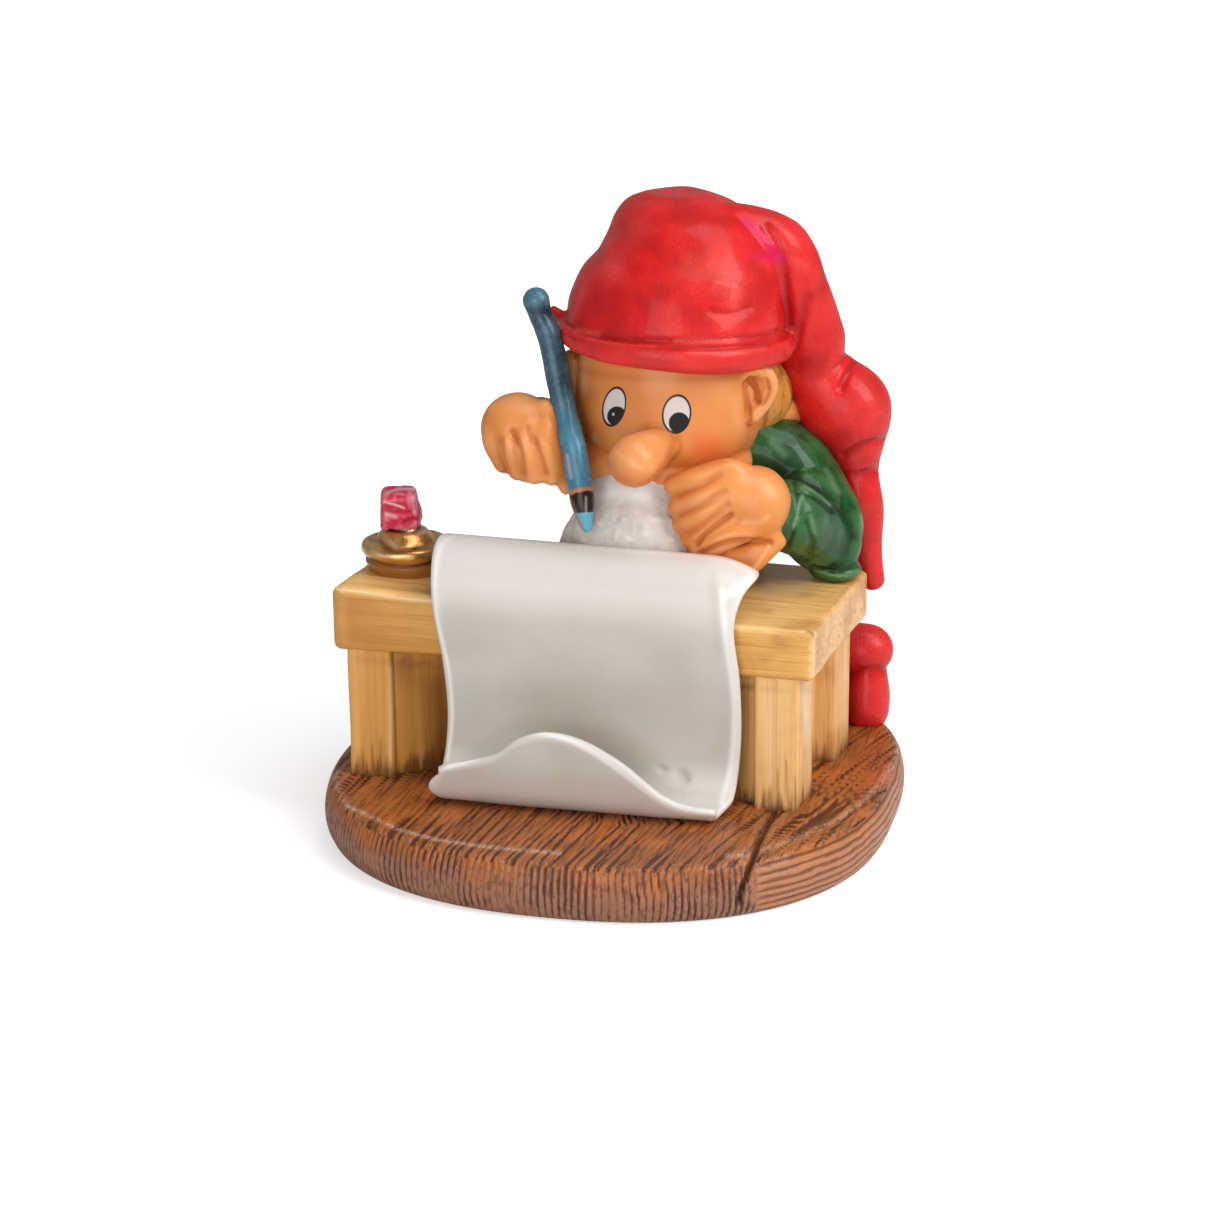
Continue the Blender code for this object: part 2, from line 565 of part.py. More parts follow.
def add_body(bm):
    """The jacket with both sleeves, behind and on the table."""
    half = TORSO_WIDTH / 2
    limb(bm, [behind(9.0, 11.5, 15.0), behind(9.0, 10.5, 20.0), behind(9.0, 8.5, 32.0),
              behind(9.5, 5.0, 46.0), behind(10.0, 1.5, 56.0), behind(10.5, -4.0, 62.0)],
         [half * 0.96, half * 0.98, half * 0.84, half * 0.98, half, half * 0.6], flat=0.72)
    sleeve = SLEEVE_RADIUS
    limb(bm, [desk(25.0, 15.0, 23.2), desk(32.4, 15.2, 19.6), desk(38.8, 15.0, 10.6),
              desk(40.0, 13.8, 6.0)],
         [sleeve * 1.14, sleeve * 1.04, sleeve * 0.97, sleeve * 0.9])
    limb(bm, [desk(38.5, 12.0, 7.2), desk(36.8, 7.0, 10.8), desk(34.9, 1.5, 14.0)],
         [sleeve * 0.92, sleeve * 0.92, sleeve * 0.95])
    blob(bm, desk(36.0, 11.0, 13.5), (sleeve * 0.95, sleeve, sleeve * 1.1))
    blob(bm, desk(41.4, 13.5, 1.0), (sleeve * 0.72, sleeve * 0.7, sleeve * 0.36))
    limb(bm, [behind(-2.0, -1.0, 59.5), behind(-11.0, -2.0, 57.5),
              desk(-13.0, 10.0, 25.0), desk(-13.4, 3.0, 27.6)],
         [sleeve, sleeve * 0.92, sleeve * 0.86, sleeve * 0.86], flat=0.95)


def add_legs(bm):
    """The legs, spread to both sides of a round stool, and the boots."""
    middle = behind(9.0, 11.5, 0.0)
    for side in (-1.0, 1.0):
        knee = middle + Vector((side * KNEE_SPREAD, 1.5 * MM, 14.2 * MM))
        hip = middle + Vector((side * 8.0 * MM, -1.0 * MM, 14.0 * MM))
        limb(bm, [hip, hip.lerp(knee, 0.5) + Vector((0.0, 0.0, 1.0 * MM)), knee],
             [BOOT_RADIUS * 1.5, BOOT_RADIUS * 1.15, BOOT_RADIUS * 1.03], side=(0.0, 1.0, 0.0))
        ankle = knee - Vector((0.0, 0.4 * MM, 5.4 * MM))
        sole = Vector((ankle.x, ankle.y - 0.8 * MM, BASE_HEIGHT + BOOT_RADIUS * 0.55))
        limb(bm, [ankle, ankle.lerp(sole, 0.5), sole],
             [BOOT_RADIUS * 0.86, BOOT_RADIUS * 0.98, BOOT_RADIUS * 1.02])
    limb(bm, [middle + Vector((0.0, 0.0, -1.0 * MM)), middle + Vector((0.0, 0.0, STOOL_HEIGHT))],
         [STOOL_RADIUS, STOOL_RADIUS * 0.94], sides=32, steps=2, round_ends=False)


def make_figure():
    """The modelled figure, fused into one form."""
    bm = bmesh.new()
    add_head(bm)
    add_hat(bm)
    add_beard(bm)
    add_pencil(bm)
    add_hands(bm)
    add_body(bm)
    add_legs(bm)
    figure = make_guide(make_object("figure_form", bm))
    fuse = figure.modifiers.new("fuse", "REMESH")
    fuse.mode = "VOXEL"
    fuse.voxel_size = VOXEL
    soften = figure.modifiers.new("soften", "SMOOTH")
    soften.factor = 0.5
    soften.iterations = SMOOTH_STEPS
    thin = figure.modifiers.new("thin", "DECIMATE")
    thin.ratio = FIGURE_SHARE
    return figure


def paint(obj):
    """Give the casting its glossy red-brown paint."""
    material = bpy.data.materials.new("painted_casting")
    material.use_nodes = True
    shader = material.node_tree.nodes["Principled BSDF"]
    shader.inputs["Base Color"].default_value = (0.45, 0.16, 0.08, 1.0)
    shader.inputs["Roughness"].default_value = 0.32
    shader.inputs["Metallic"].default_value = 0.0
    obj.data.materials.append(material)


def main():
    """Build the figurine from its forms."""
    for item in list(bpy.data.objects):
        bpy.data.objects.remove(item, do_unlink=True)
    figurine, crack = make_base()
    cut = figurine.modifiers.new("crack", "BOOLEAN")
    cut.operation = "DIFFERENCE"
    cut.object = crack
    for form in make_table() + make_bottle() + [make_scroll(), make_figure()]:
        join = figurine.modifiers.new("join_" + form.name, "BOOLEAN")
        join.operation = "UNION"
        join.solver = "EXACT"
        join.object = form
    paint(figurine)
    figurine.data.shade_smooth()
    figurine.data.set_sharp_from_angle(angle=math.radians(38.0))


main()
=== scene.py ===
"""Painted elf figurine, dressed in its paint: one operator for each painted part of the casting."""
import math

import bmesh
import bpy
import numpy as np
from bpy.props import FloatProperty, FloatVectorProperty, IntProperty, PointerProperty
from mathutils import Matrix, Vector


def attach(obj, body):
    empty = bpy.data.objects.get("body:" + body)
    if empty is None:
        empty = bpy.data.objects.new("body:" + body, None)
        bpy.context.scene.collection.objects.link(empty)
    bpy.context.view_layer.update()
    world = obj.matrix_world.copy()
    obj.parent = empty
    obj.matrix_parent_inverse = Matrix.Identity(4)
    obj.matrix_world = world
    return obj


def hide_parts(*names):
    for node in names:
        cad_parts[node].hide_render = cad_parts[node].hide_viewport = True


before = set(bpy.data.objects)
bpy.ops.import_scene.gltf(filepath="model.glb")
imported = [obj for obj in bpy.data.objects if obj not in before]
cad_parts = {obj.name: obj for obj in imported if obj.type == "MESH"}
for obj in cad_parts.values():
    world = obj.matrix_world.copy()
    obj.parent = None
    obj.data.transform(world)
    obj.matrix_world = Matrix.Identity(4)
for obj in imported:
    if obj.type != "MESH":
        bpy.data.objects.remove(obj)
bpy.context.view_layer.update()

bl_info = {"name": "Painted Elf Figurine", "version": (1, 0, 0), "blender": (4, 5, 0),
           "location": "View3D > Sidebar > Figurine",
           "description": "Makes the painted parts of a cast elf who writes at a plank table",
           "category": "Add Mesh",}

MM = 0.001
NODE = "elf_figurine"
BODY = "root"

# The casting's sizes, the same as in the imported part
BASE_WIDTH, BASE_DEPTH, BASE_HEIGHT = 106.6 * MM, 107.0 * MM, 10.5 * MM
BASE_BULGE = 2.4 * MM
BASE_FRONT_POWER, BASE_BACK_POWER = 2.3, 3.0
CRACK_PLACE = 34.5 * MM
TABLE_X, TABLE_Y = -4.4 * MM, 3.0 * MM
TABLE_LENGTH, TABLE_DEPTH, TABLE_HEIGHT = 90.0 * MM, 41.0 * MM, 35.5 * MM
PLANK_SKEW = 0.083
PLANK_THICKNESS, PLANK_RISE, PLANK_EDGE = 10.5 * MM, 2.0 * MM, 1.3 * MM
LEG_WIDTH, LEG_DEPTH, LEG_INSET, LEG_EDGE = 8.4 * MM, 11.0 * MM, 2.4 * MM, 0.9 * MM
PANEL_RECESS, PANEL_POCKET = 4.0 * MM, 9.0 * MM
POCKET_LEFT, POCKET_RIGHT = -26.5 * MM, 24.0 * MM
SCROLL_WIDTH, SCROLL_CENTRE, SCROLL_THICKNESS = 54.0 * MM, -0.4 * MM, 1.6 * MM
SCROLL_RISE, SCROLL_FLAP = 9.8 * MM, 15.0 * MM
SCROLL_TILT, SCROLL_DROOP = 0.9 * MM, 2.2 * MM
BOTTLE_RADIUS, BOTTLE_HEIGHT, BOTTLE_NECK = 8.3 * MM, 8.4 * MM, 3.1 * MM
BOTTLE_X, BOTTLE_Y = -36.8 * MM, -5.0 * MM
STOPPER_SIZE, STOPPER_TURN = 7.0 * MM, math.radians(14.0)
HEAD_X, HEAD_Y, HEAD_RISE = 11.0 * MM, 8.0 * MM, 36.0 * MM
HEAD_WIDTH, HEAD_DEPTH, HEAD_HEIGHT = 35.0 * MM, 33.0 * MM, 38.0 * MM
NOSE_RADIUS, EAR_HEIGHT, EAR_RIM = 4.9 * MM, 9.0 * MM, 1.4 * MM
CHEEK_FULLNESS = 2.35
BRIM_HEIGHT, BRIM_PROUD, BRIM_LEVEL, BRIM_TILT = 4.8 * MM, 4.4 * MM, 0.49, 0.055
CROWN_HEIGHT = 26.5 * MM
TAIL_RADIUS, TAIL_TIP_RADIUS = 6.2 * MM, 2.6 * MM
PENCIL_RADIUS = 2.2 * MM
FINGER_RADIUS, PALM_RADIUS = 2.2 * MM, 7.0 * MM
SLEEVE_RADIUS, TORSO_WIDTH = 7.0 * MM, 35.0 * MM
BOOT_RADIUS, KNEE_SPREAD = 4.8 * MM, 36.0 * MM
STOOL_RADIUS, STOOL_HEIGHT = 13.0 * MM, 11.0 * MM

TABLE_TOP = BASE_HEIGHT + TABLE_HEIGHT
FRONT = TABLE_Y - TABLE_DEPTH / 2
BACK = TABLE_Y + TABLE_DEPTH / 2
MIDDLE_X = TABLE_X + 1.6 * MM
HEAD = Vector((MIDDLE_X + HEAD_X, TABLE_Y + HEAD_Y, TABLE_TOP + HEAD_RISE))

# How finely the base is divided: points around it, rings up its side, and rings on its top
BASE_AROUND, BASE_SIDE_RINGS, BASE_OUTLINE_STEPS = 1120, 35, 1440
FINE_RINGS, FINE_RING, COARSE_RINGS, COARSE_RING = 34, 0.6 * MM, 12, 2.2 * MM

# The left tip of the scroll's flap: its level over the base, half its height, how far in it
# starts, how far it is drawn out, and how far before the table it and the lit edge begin
TIP_LEVEL, TIP_HALF, TIP_REACH, TIP_LENGTH = 3.2 * MM, 3.3 * MM, 9.0 * MM, 3.4 * MM
TIP_FRONT, EDGE_FRONT = 6.0 * MM, 7.5 * MM
BEARD_VOXEL = 0.38 * MM
FLOOR_HALF, GLOW_NEAR, GLOW_FAR = 3.0, 0.06, 0.45
AIM = Vector((0.0, 0.0, 55.0)) * MM

# Steps of a smooth curve from one given place to the next
LIMB_STEPS, STROKE_STEPS, FLAP_STEPS, LATHE_STEPS, STOOL_STEPS = 8, 4, 8, 5, 14
LATHE_SIDES = 120

# Small touches of paint that aren't settings, painted highlights and painted shade among them
# Painted shade: the plank darker towards its left end, away from the light
SHADED_HONEY = (0.46, 0.18, 0.03)
LIT_TOP = (1.0, 0.62, 0.22)
LIT_END = (1.0, 0.60, 0.28)
LIT_LEGS = (1.0, 0.64, 0.28)
# Painted highlights on the table's lit edges and facets
HONEY_HIGHLIGHT = (0.92, 0.74, 0.46)
# Painted light on the base's right flank, which faces the light
LIT_FLANK = (0.62, 0.25, 0.11)
BOTTLE_FOOT_DARK = (0.20, 0.06, 0.009)
BOTTLE_FOOT = (0.48, 0.21, 0.05)
GILT_GLINT = (0.95, 0.72, 0.42)
STOPPER_MARKS = (0.70, 0.05, 0.14)
STOPPER_RIDGE = (0.84, 0.30, 0.38)
STOPPER_HOLLOW = (0.33, 0.003, 0.03)
STOPPER_PALE_EDGE = (0.90, 0.55, 0.60)
EYE_RIM = (0.035, 0.012, 0.006)
EYE_WHITE = (0.70, 0.63, 0.59)
PUPIL = (0.004, 0.003, 0.002)
GLINT = (0.50, 0.52, 0.55)
HAIR_STRANDS = (0.34, 0.12, 0.012)
HAIR_HOLLOW = (0.25, 0.08, 0.01)
PENCIL_RIDGE = (0.14, 0.36, 0.46)
PENCIL_MARKS = (0.30, 0.50, 0.58)
PENCIL_BLACK = (0.012, 0.007, 0.005)
BARE_WOOD = (0.80, 0.62, 0.50)
JACKET_LIGHT = (0.24, 0.42, 0.22)

# The photograph's camera
IMAGE_SIDE = 1214.0
FOCAL_PIXELS = 3300.0
PIXELS_PER_MM = 5.8
CAMERA_TURN, CAMERA_RISE = math.radians(13.5), math.radians(17.5)
CAMERA_TARGET = Vector((8.7, -42.0, 55.0)) * MM


def camera_axes():
    """The camera's right, up and forward directions."""
    forward = Vector((-math.sin(CAMERA_TURN) * math.cos(CAMERA_RISE),
                      math.cos(CAMERA_TURN) * math.cos(CAMERA_RISE), -math.sin(CAMERA_RISE)))
    right = Vector((math.cos(CAMERA_TURN), math.sin(CAMERA_TURN), 0.0))
    return right, right.cross(forward), forward


def desk(x, y, z):
    """A point given in millimetres from the middle of the figure's seat at the tabletop."""
    return Vector((MIDDLE_X + x * MM, TABLE_Y + y * MM, TABLE_TOP + z * MM))


def behind(x, y, z):
    """A point in millimetres, y from the table's back edge and z from the base's top."""
    return Vector((MIDDLE_X + x * MM, BACK + y * MM, BASE_HEIGHT + z * MM))


def on_head(across, along, up):
    """A point in half widths, half depths and half heights from the middle of the head."""
    return HEAD + Vector((across * HEAD_WIDTH, along * HEAD_DEPTH, up * HEAD_HEIGHT)) / 2


def points_at(place, written):
    """Points from text, placed by one of the three functions above."""
    return [place(*map(float, spot.split())) for spot in written.split(";")]


def colour(name, description, value):
    """A colour setting."""
    return FloatVectorProperty(name=name, description=description, subtype="COLOR", size=3, min=0.0,
        max=1.0, default=value)


def length(name, description, millimetres):
    """A length setting, given in millimetres and kept in metres."""
    return FloatProperty(name=name, description=description, unit="LENGTH", precision=5,
                         default=millimetres * MM)


class BaseSettings(bpy.types.PropertyGroup):
    """Sizes and colours of the round wooden base."""

    groove_pitch: length("Groove Pitch", "Distance between the carved grain lines", 0.72)
    groove_depth: length("Groove Depth", "Depth of the carved grain lines", 0.32)
    grain_lean: FloatProperty(name="Grain Lean", default=0.14,
                              description="How far the grain leans to the right per unit of depth")
    seed: IntProperty(name="Seed", description="Picks the pattern of grooves", default=7)
    ridge: colour("Ridge Colour", "Paint on the ridges between grooves", (0.34, 0.105, 0.024))
    groove: colour("Groove Colour", "Dark wash in the grooves", (0.05, 0.014, 0.008))
    dusky: colour("Side Colour", "Greyer brown of the side", (0.32, 0.142, 0.084))
    # Also the colour of the painted highlights along the rim
    worn_and_highlight: colour("Worn Colour", "Dry-brushed light paint on the rim", (0.68, 0.45, 0.34))


class TableSettings(bpy.types.PropertyGroup):
    """Sizes and colours of the plank table."""

    hand_cut: length("Hand Cut", "How far the surfaces wander, as if cut by hand", 0.28)
    wood: colour("Wood Colour", "Honey paint", (0.62, 0.275, 0.05))
    # Also laid towards the right of the wood as painted light, and on its ridges
    pale: colour("Pale Streaks", "Pale streaks along the grain", (0.87, 0.48, 0.135))
    streak: colour("Dark Streaks", "Ochre streaks along the grain", (0.43, 0.15, 0.022))
    # Painted shade in the recess, under the plank and on the legs' inner faces, also used for the nick and
    # a few dark lines
    shadow: colour("Recess Colour", "Brown wash in the recess", (0.22, 0.075, 0.016))
    stain: colour("Foot Stain", "Brown wash at the feet", (0.11, 0.035, 0.014))


class ScrollSettings(bpy.types.PropertyGroup):
    """Sizes and colours of the paper and the beard."""

    thickness: length("Thickness", "Thickness of the cast sheet", 1.6)
    paper: colour("Paper Colour", "White paint with a little warm grey", (0.71, 0.67, 0.62))
    # Painted shade on the paper, with a little grey-green wash
    shade: colour("Shade Colour", "Grey-green wash in the hollows", (0.50, 0.45, 0.385))
    # Also the colour of the painted highlights on the paper's and the beard's edges
    edge: colour("Edge Colour", "Lighter paint on the edges", (0.90, 0.88, 0.85))
    beard: colour("Beard Colour", "White of the beard", (0.66, 0.61, 0.56))
    beard_shade: colour("Beard Shade", "Grey of the beard's hollows", (0.50, 0.43, 0.37))


class BottleSettings(bpy.types.PropertyGroup):
    """Colours of the ink bottle."""

    gold: colour("Gold Colour", "Gold paint of the bottle", (0.74, 0.38, 0.11))
    # Also the colour of the painted dark reflections and shade on the bottle
    patina_and_painted_shade: colour("Patina Colour", "Brown glaze in the bottle's hollows", (0.12, 0.045, 0.01))
    stopper: colour("Stopper Colour", "Pink paint of the stopper", (0.54, 0.001, 0.035))


class FigureSettings(bpy.types.PropertyGroup):
    """Sizes and colours of the figure."""

    voxel: length("Detail Size", "Smallest detail of the modelled figure", 0.32)
    skin: colour("Skin Colour", "Peach paint", (0.77, 0.275, 0.068))
    # Also the colour of the painted shade on the skin
    skin_shade: colour("Skin Shade", "Orange wash in the hollows", (0.50, 0.13, 0.022))
    skin_light: colour("Skin Highlight", "Pale peach on what stands out", (0.90, 0.45, 0.19))
    blush: colour("Blush Colour", "Red of the cheeks", (0.80, 0.16, 0.05))
    hair: colour("Hair Colour", "Ochre of the hair", (0.58, 0.26, 0.05))
    hat: colour("Hat Colour", "Red paint of the cap", (0.69, 0.008, 0.010))
    # Also the colour of the painted highlights on the cap
    hat_dry_and_highlight: colour("Hat Highlights", "Dry-brushed pink on the cap", (0.82, 0.075, 0.06))
    hat_fold: colour("Hat Fold", "Magenta wash in the cap's fold", (0.62, 0.002, 0.075))
    jacket: colour("Jacket Colour", "Green paint of the jacket", (0.007, 0.074, 0.007))
    # Also the colour of the painted shade on the jacket
    jacket_deep: colour("Jacket Shade", "Deep green of its folds", (0.004, 0.028, 0.008))
    jacket_dry: colour("Jacket Highlights", "Light green on its ridges", (0.12, 0.30, 0.13))
    pencil: colour("Pencil Colour", "Blue paint of the pencil", (0.045, 0.19, 0.29))
    pencil_deep: colour("Pencil Shade", "Dark blue of the pencil's top", (0.012, 0.03, 0.055))
    cone: colour("Pencil Wood", "Sharpened wood of the pencil", (0.50, 0.20, 0.085))
    lead: colour("Pencil Lead", "Light blue point of the pencil", (0.12, 0.40, 0.56))


class StageSettings(bpy.types.PropertyGroup):
    """The floor and the light."""

    floor: colour("Floor Colour", "Pale floor", (0.90, 0.90, 0.90))
    key_power: FloatProperty(name="Key Power", description="Power of the main soft lamp", unit="POWER",
                             default=2.25)
    fill_power: FloatProperty(name="Fill Power", description="Power of the opposite soft lamp",
                              unit="POWER", default=1.6)
    top_power: FloatProperty(name="Top Power", description="Power of the soft lamp overhead", unit="POWER",
                             default=1.05)
    near_glow: FloatProperty(name="Near Glow", default=0.5,
                             description="How much the floor shines to the camera beside the figure")
    sky: FloatProperty(name="Sky", description="Strength of the light from all around", default=0.28)


SETTINGS = {"figurine_base": BaseSettings, "figurine_table": TableSettings,
            "figurine_scroll": ScrollSettings, "figurine_bottle": BottleSettings,
            "figurine_figure": FigureSettings, "figurine_stage": StageSettings}


# Meshes

def make_object(name, bm):
    """Turn a bmesh into a linked object with its faces pointing out."""
    bmesh.ops.recalc_face_normals(bm, faces=bm.faces)
    mesh = bpy.data.meshes.new(name)
    bm.to_mesh(mesh)
    bm.free()
    obj = bpy.data.objects.new(name, mesh)
    bpy.context.scene.collection.objects.link(obj)
    return obj


def baked(obj, name):
    """Replace an object with a plain mesh of what its modifiers make of it."""
    graph = bpy.context.evaluated_depsgraph_get()
    mesh = bpy.data.meshes.new_from_object(obj.evaluated_get(graph), depsgraph=graph)
    mesh.name = name
    bpy.data.objects.remove(obj, do_unlink=True)
    made = bpy.data.objects.new(name, mesh)
    bpy.context.scene.collection.objects.link(made)
    return made


def keep(obj, material, relief=None):
    """Give a finished piece its paint and smooth shading, hang it on the body and hide the cast part, once
    its relief is stored if that is asked.
    """
    if relief:
        mark_relief(obj.data, *relief)
    obj.data.materials.clear()
    obj.data.materials.append(material)
    obj.data.shade_smooth()
    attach(obj, BODY)
    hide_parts(NODE)


def skin(bm, rings):
    """Join rings of points with faces and close both ends."""
    loops = [[bm.verts.new(point) for point in ring] for ring in rings]
    count = len(loops[0])
    for low, high in zip(loops, loops[1:]):
        for i in range(count):
            j = (i + 1) % count
            bm.faces.new((low[i], low[j], high[j], high[i]))
    bm.faces.new(list(reversed(loops[0])))
    bm.faces.new(loops[-1])


def curve_through(values, steps):
    """Values along a smooth curve through the given ones."""
    ends = [2 * values[0] - values[1]] + list(values) + [2 * values[-1] - values[-2]]
    smooth = []
    for a, b, c, d in zip(ends, ends[1:], ends[2:], ends[3:]):
        for step in range(steps):
            t = step / steps
            smooth.append(0.5 * (2 * b + (c - a) * t + (2 * a - 5 * b + 4 * c - d) * t ** 2
                                 + (3 * b - a - 3 * c + d) * t ** 3))
    smooth.append(values[-1])
    return smooth


def circle(steps):
    """Even angles round a circle."""
    return [2 * math.pi * i / steps for i in range(steps)]


def limb(bm, points, radii, flat=1.0, side=(1.0, 0.0, 0.0), sides=24):
    """Add a limb along a smooth path, flattened across the given side."""
    path, sizes = curve_through(points, LIMB_STEPS), curve_through(radii, LIMB_STEPS)
    wide_hint = Vector(side)
    rings = []

    def ring(centre, ahead, radius):
        wide = (wide_hint - ahead * wide_hint.dot(ahead)).normalized()
        deep = ahead.cross(wide) * flat
        angles = circle(sides)
        return [centre + radius * (math.cos(a) * wide + math.sin(a) * deep) for a in angles]

    def cap(centre, ahead, radius, sign):
        turns = [math.radians(angle) for angle in (84, 70, 55, 40, 25, 12)]
        made = [ring(centre + sign * ahead * radius * min(flat, 1.0) * math.sin(turn), ahead,
                     radius * math.cos(turn)) for turn in turns]
        return made if sign < 0 else list(reversed(made))

    last = len(path) - 1
    for i, centre in enumerate(path):
        ahead = (path[min(i + 1, last)] - path[max(i - 1, 0)]).normalized()
        if i == 0:
            rings += cap(centre, ahead, sizes[i], -1)
        rings.append(ring(centre, ahead, sizes[i]))
        if i == last:
            rings += cap(centre, ahead, sizes[i], 1)
    skin(bm, rings)


def blob(bm, centre, radii):
    """Add an ellipsoid."""
    size = Matrix.Diagonal((*radii, 1.0))
    bmesh.ops.create_uvsphere(bm, u_segments=48, v_segments=32, radius=1.0,
                              matrix=Matrix.Translation(centre) @ size)


def egg(bm, centre, radii, fullness):
    """Add an ellipsoid that is fuller above and below its middle."""
    rings = []
    levels, angles = 64, circle(96)
    for level in range(1, levels):
        turn = math.pi * (level / levels - 0.5)
        up = math.copysign(abs(math.sin(turn)) ** (2 / fullness), math.sin(turn))
        out = math.cos(turn) ** (2 / fullness)
        rings.append([centre
                      + Vector((radii[0] * out * math.cos(a), radii[1] * out * math.sin(a), radii[2] * up))
                      for a in angles])
    skin(bm, rings)


def slab(bm, low, high, edge, cells):
    """Add a finely divided block with round edges."""
    low, high = Vector(low), Vector(high)
    verts = {}

    def vertex(key):
        if key not in verts:
            place = Vector([low[a] + (high[a] - low[a]) * key[a] / cells[a] for a in range(3)])
            core = Vector([min(max(place[a], low[a] + edge), high[a] - edge) for a in range(3)])
            out = place - core
            if out.length > 0:
                place = core + out.normalized() * edge
            verts[key] = bm.verts.new(place)
        return verts[key]

    for axis in range(3):
        one, two = (axis + 1) % 3, (axis + 2) % 3
        for level in (0, cells[axis]):
            for i in range(cells[one]):
                for j in range(cells[two]):
                    corners = []
                    for di, dj in ((0, 0), (1, 0), (1, 1), (0, 1)):
                        key = [0, 0, 0]
                        key[axis], key[one], key[two] = level, i + di, j + dj
                        corners.append(vertex(tuple(key)))
                    bm.faces.new(corners if level else list(reversed(corners)))


def fused(name, forms, voxel, soften=3):
    """Fuse overlapping closed forms into one fine skin, as modelled clay."""
    bm = bmesh.new()
    forms(bm)
    obj = make_object(name + "_forms", bm)
    fuse = obj.modifiers.new("fuse", "REMESH")
    fuse.mode = "VOXEL"
    fuse.voxel_size = voxel
    smooth = obj.modifiers.new("soften", "SMOOTH")
    smooth.factor = 0.5
    smooth.iterations = soften
    return baked(obj, name)


# Working on a mesh's points as arrays

def points_of(mesh):
    """All points of a mesh as rows."""
    flat = np.empty(len(mesh.vertices) * 3)
    mesh.vertices.foreach_get("co", flat)
    return flat.reshape(-1, 3)


def normals_of(mesh):
    """The outward direction at every point of a mesh."""
    flat = np.empty(len(mesh.vertices) * 3, np.float32)
    mesh.vertex_normals.foreach_get("vector", flat)
    return flat.reshape(-1, 3).astype(float)


def put_points(mesh, points):
    """Move a mesh's points to new places."""
    mesh.vertices.foreach_set("co", points.ravel())
    mesh.update()


def store(mesh, name, values):
    """Keep one number for every point of a mesh, for its paint to read."""
    kept = mesh.attributes.new(name, "FLOAT", "POINT")
    kept.data.foreach_set("value", np.asarray(values, np.float32))


def neighbour_mean(mesh, rows, times):
    """Average rows with their neighbours' rows again and again."""
    flat = np.empty(len(mesh.edges) * 2, np.int32)
    mesh.edges.foreach_get("vertices", flat)
    one, two = flat[0::2], flat[1::2]
    total = len(mesh.vertices)
    degree = np.bincount(one, minlength=total) + np.bincount(two, minlength=total)
    degree = np.maximum(degree, 1)[:, None]
    rows = rows.copy()
    for _ in range(times):
        sums = np.stack([np.bincount(one, rows[two, k], total) + np.bincount(two, rows[one, k], total)
                         for k in range(rows.shape[1])], axis=1)
        rows = 0.5 * rows + 0.5 * sums / degree
    return rows


def mark_relief(mesh, times, height):
    """Store how far points stand above or below smoothed surroundings, where 1 is the height in mm."""
    points = points_of(mesh)
    lift = ((points - neighbour_mean(mesh, points, times)) * normals_of(mesh)).sum(axis=1)
    lift = neighbour_mean(mesh, np.clip(lift / (height * MM), -1.0, 1.0)[:, None], 2)[:, 0]
    store(mesh, "relief", lift)


def grid_noise(points, size, seed=0):
    """Smooth random values from -1 to 1 with bumps of the given size."""
    spots = points / size + 1000.0
    cell = np.floor(spots).astype(np.int64)
    part = spots - cell
    part = part * part * (3 - 2 * part)
    total = np.zeros(len(points))
    for corner in range(8):
        shift = np.array([corner & 1, corner >> 1 & 1, corner >> 2 & 1])
        x, y, z = (cell + shift).T
        mixed = (x * 374761393 + y * 668265263 + z * 1440662683 + seed * 974634777) & 0xFFFFFFFF
        mixed = ((mixed ^ mixed >> 13) * 1274126177) & 0xFFFFFFFF
        value = ((mixed ^ mixed >> 16) & 0xFFFF) / 65535.0
        total += value * np.prod(np.where(shift, part, 1 - part), axis=1)
    return total * 2 - 1


def line_distance(points, path):
    """Each point's distance to a line through the given places."""
    path = np.array([tuple(place) for place in path])
    nearest = np.full(len(points), np.inf)
    for start, end in zip(path, path[1:]):
        along = end - start
        share = np.clip((points - start) @ along / max(along @ along, 1e-12), 0.0, 1.0)
        gap = np.linalg.norm(points - start - share[:, None] * along, axis=1)
        nearest = np.minimum(nearest, gap)
    return nearest


def in_picture(points):
    """Where points appear in the photograph, in its pixels."""
    right, up, forward = camera_axes()
    eye = CAMERA_TARGET - forward * (FOCAL_PIXELS / PIXELS_PER_MM * MM)
    gap = points - np.array(eye)
    depth = gap @ np.array(forward)
    return np.stack([IMAGE_SIDE / 2 + FOCAL_PIXELS * (gap @ np.array(right)) / depth,
                     IMAGE_SIDE / 2 - FOCAL_PIXELS * (gap @ np.array(up)) / depth, np.zeros(len(points))],
                    axis=1)


def strokes(mesh, drawn):
    """The strength, at each point that faces the camera, of strokes drawn in the picture's pixels.

    A stroke's text names the places that it passes, then its reach and its strength.
    """
    spots = in_picture(points_of(mesh))
    facing = np.clip(-(normals_of(mesh) @ np.array(camera_axes()[2])) * 4.0, 0.0, 1.0)
    total = np.zeros(len(spots))
    for stroke in filter(None, drawn.split(";")):
        *places, reach, strength = stroke.split()
        reach, strength = float(reach), float(strength)
        path = [Vector((*map(float, place.split(",")), 0.0)) for place in places]
        smooth = curve_through(path, STROKE_STEPS)
        line = np.array([tuple(place) for place in smooth])
        near = ((spots > line.min(axis=0) - 3 * reach) & (spots < line.max(axis=0) + 3 * reach)).all(axis=1)
        total[near] += strength * np.exp(-(line_distance(spots[near], smooth) / reach) ** 2)
    return total * facing


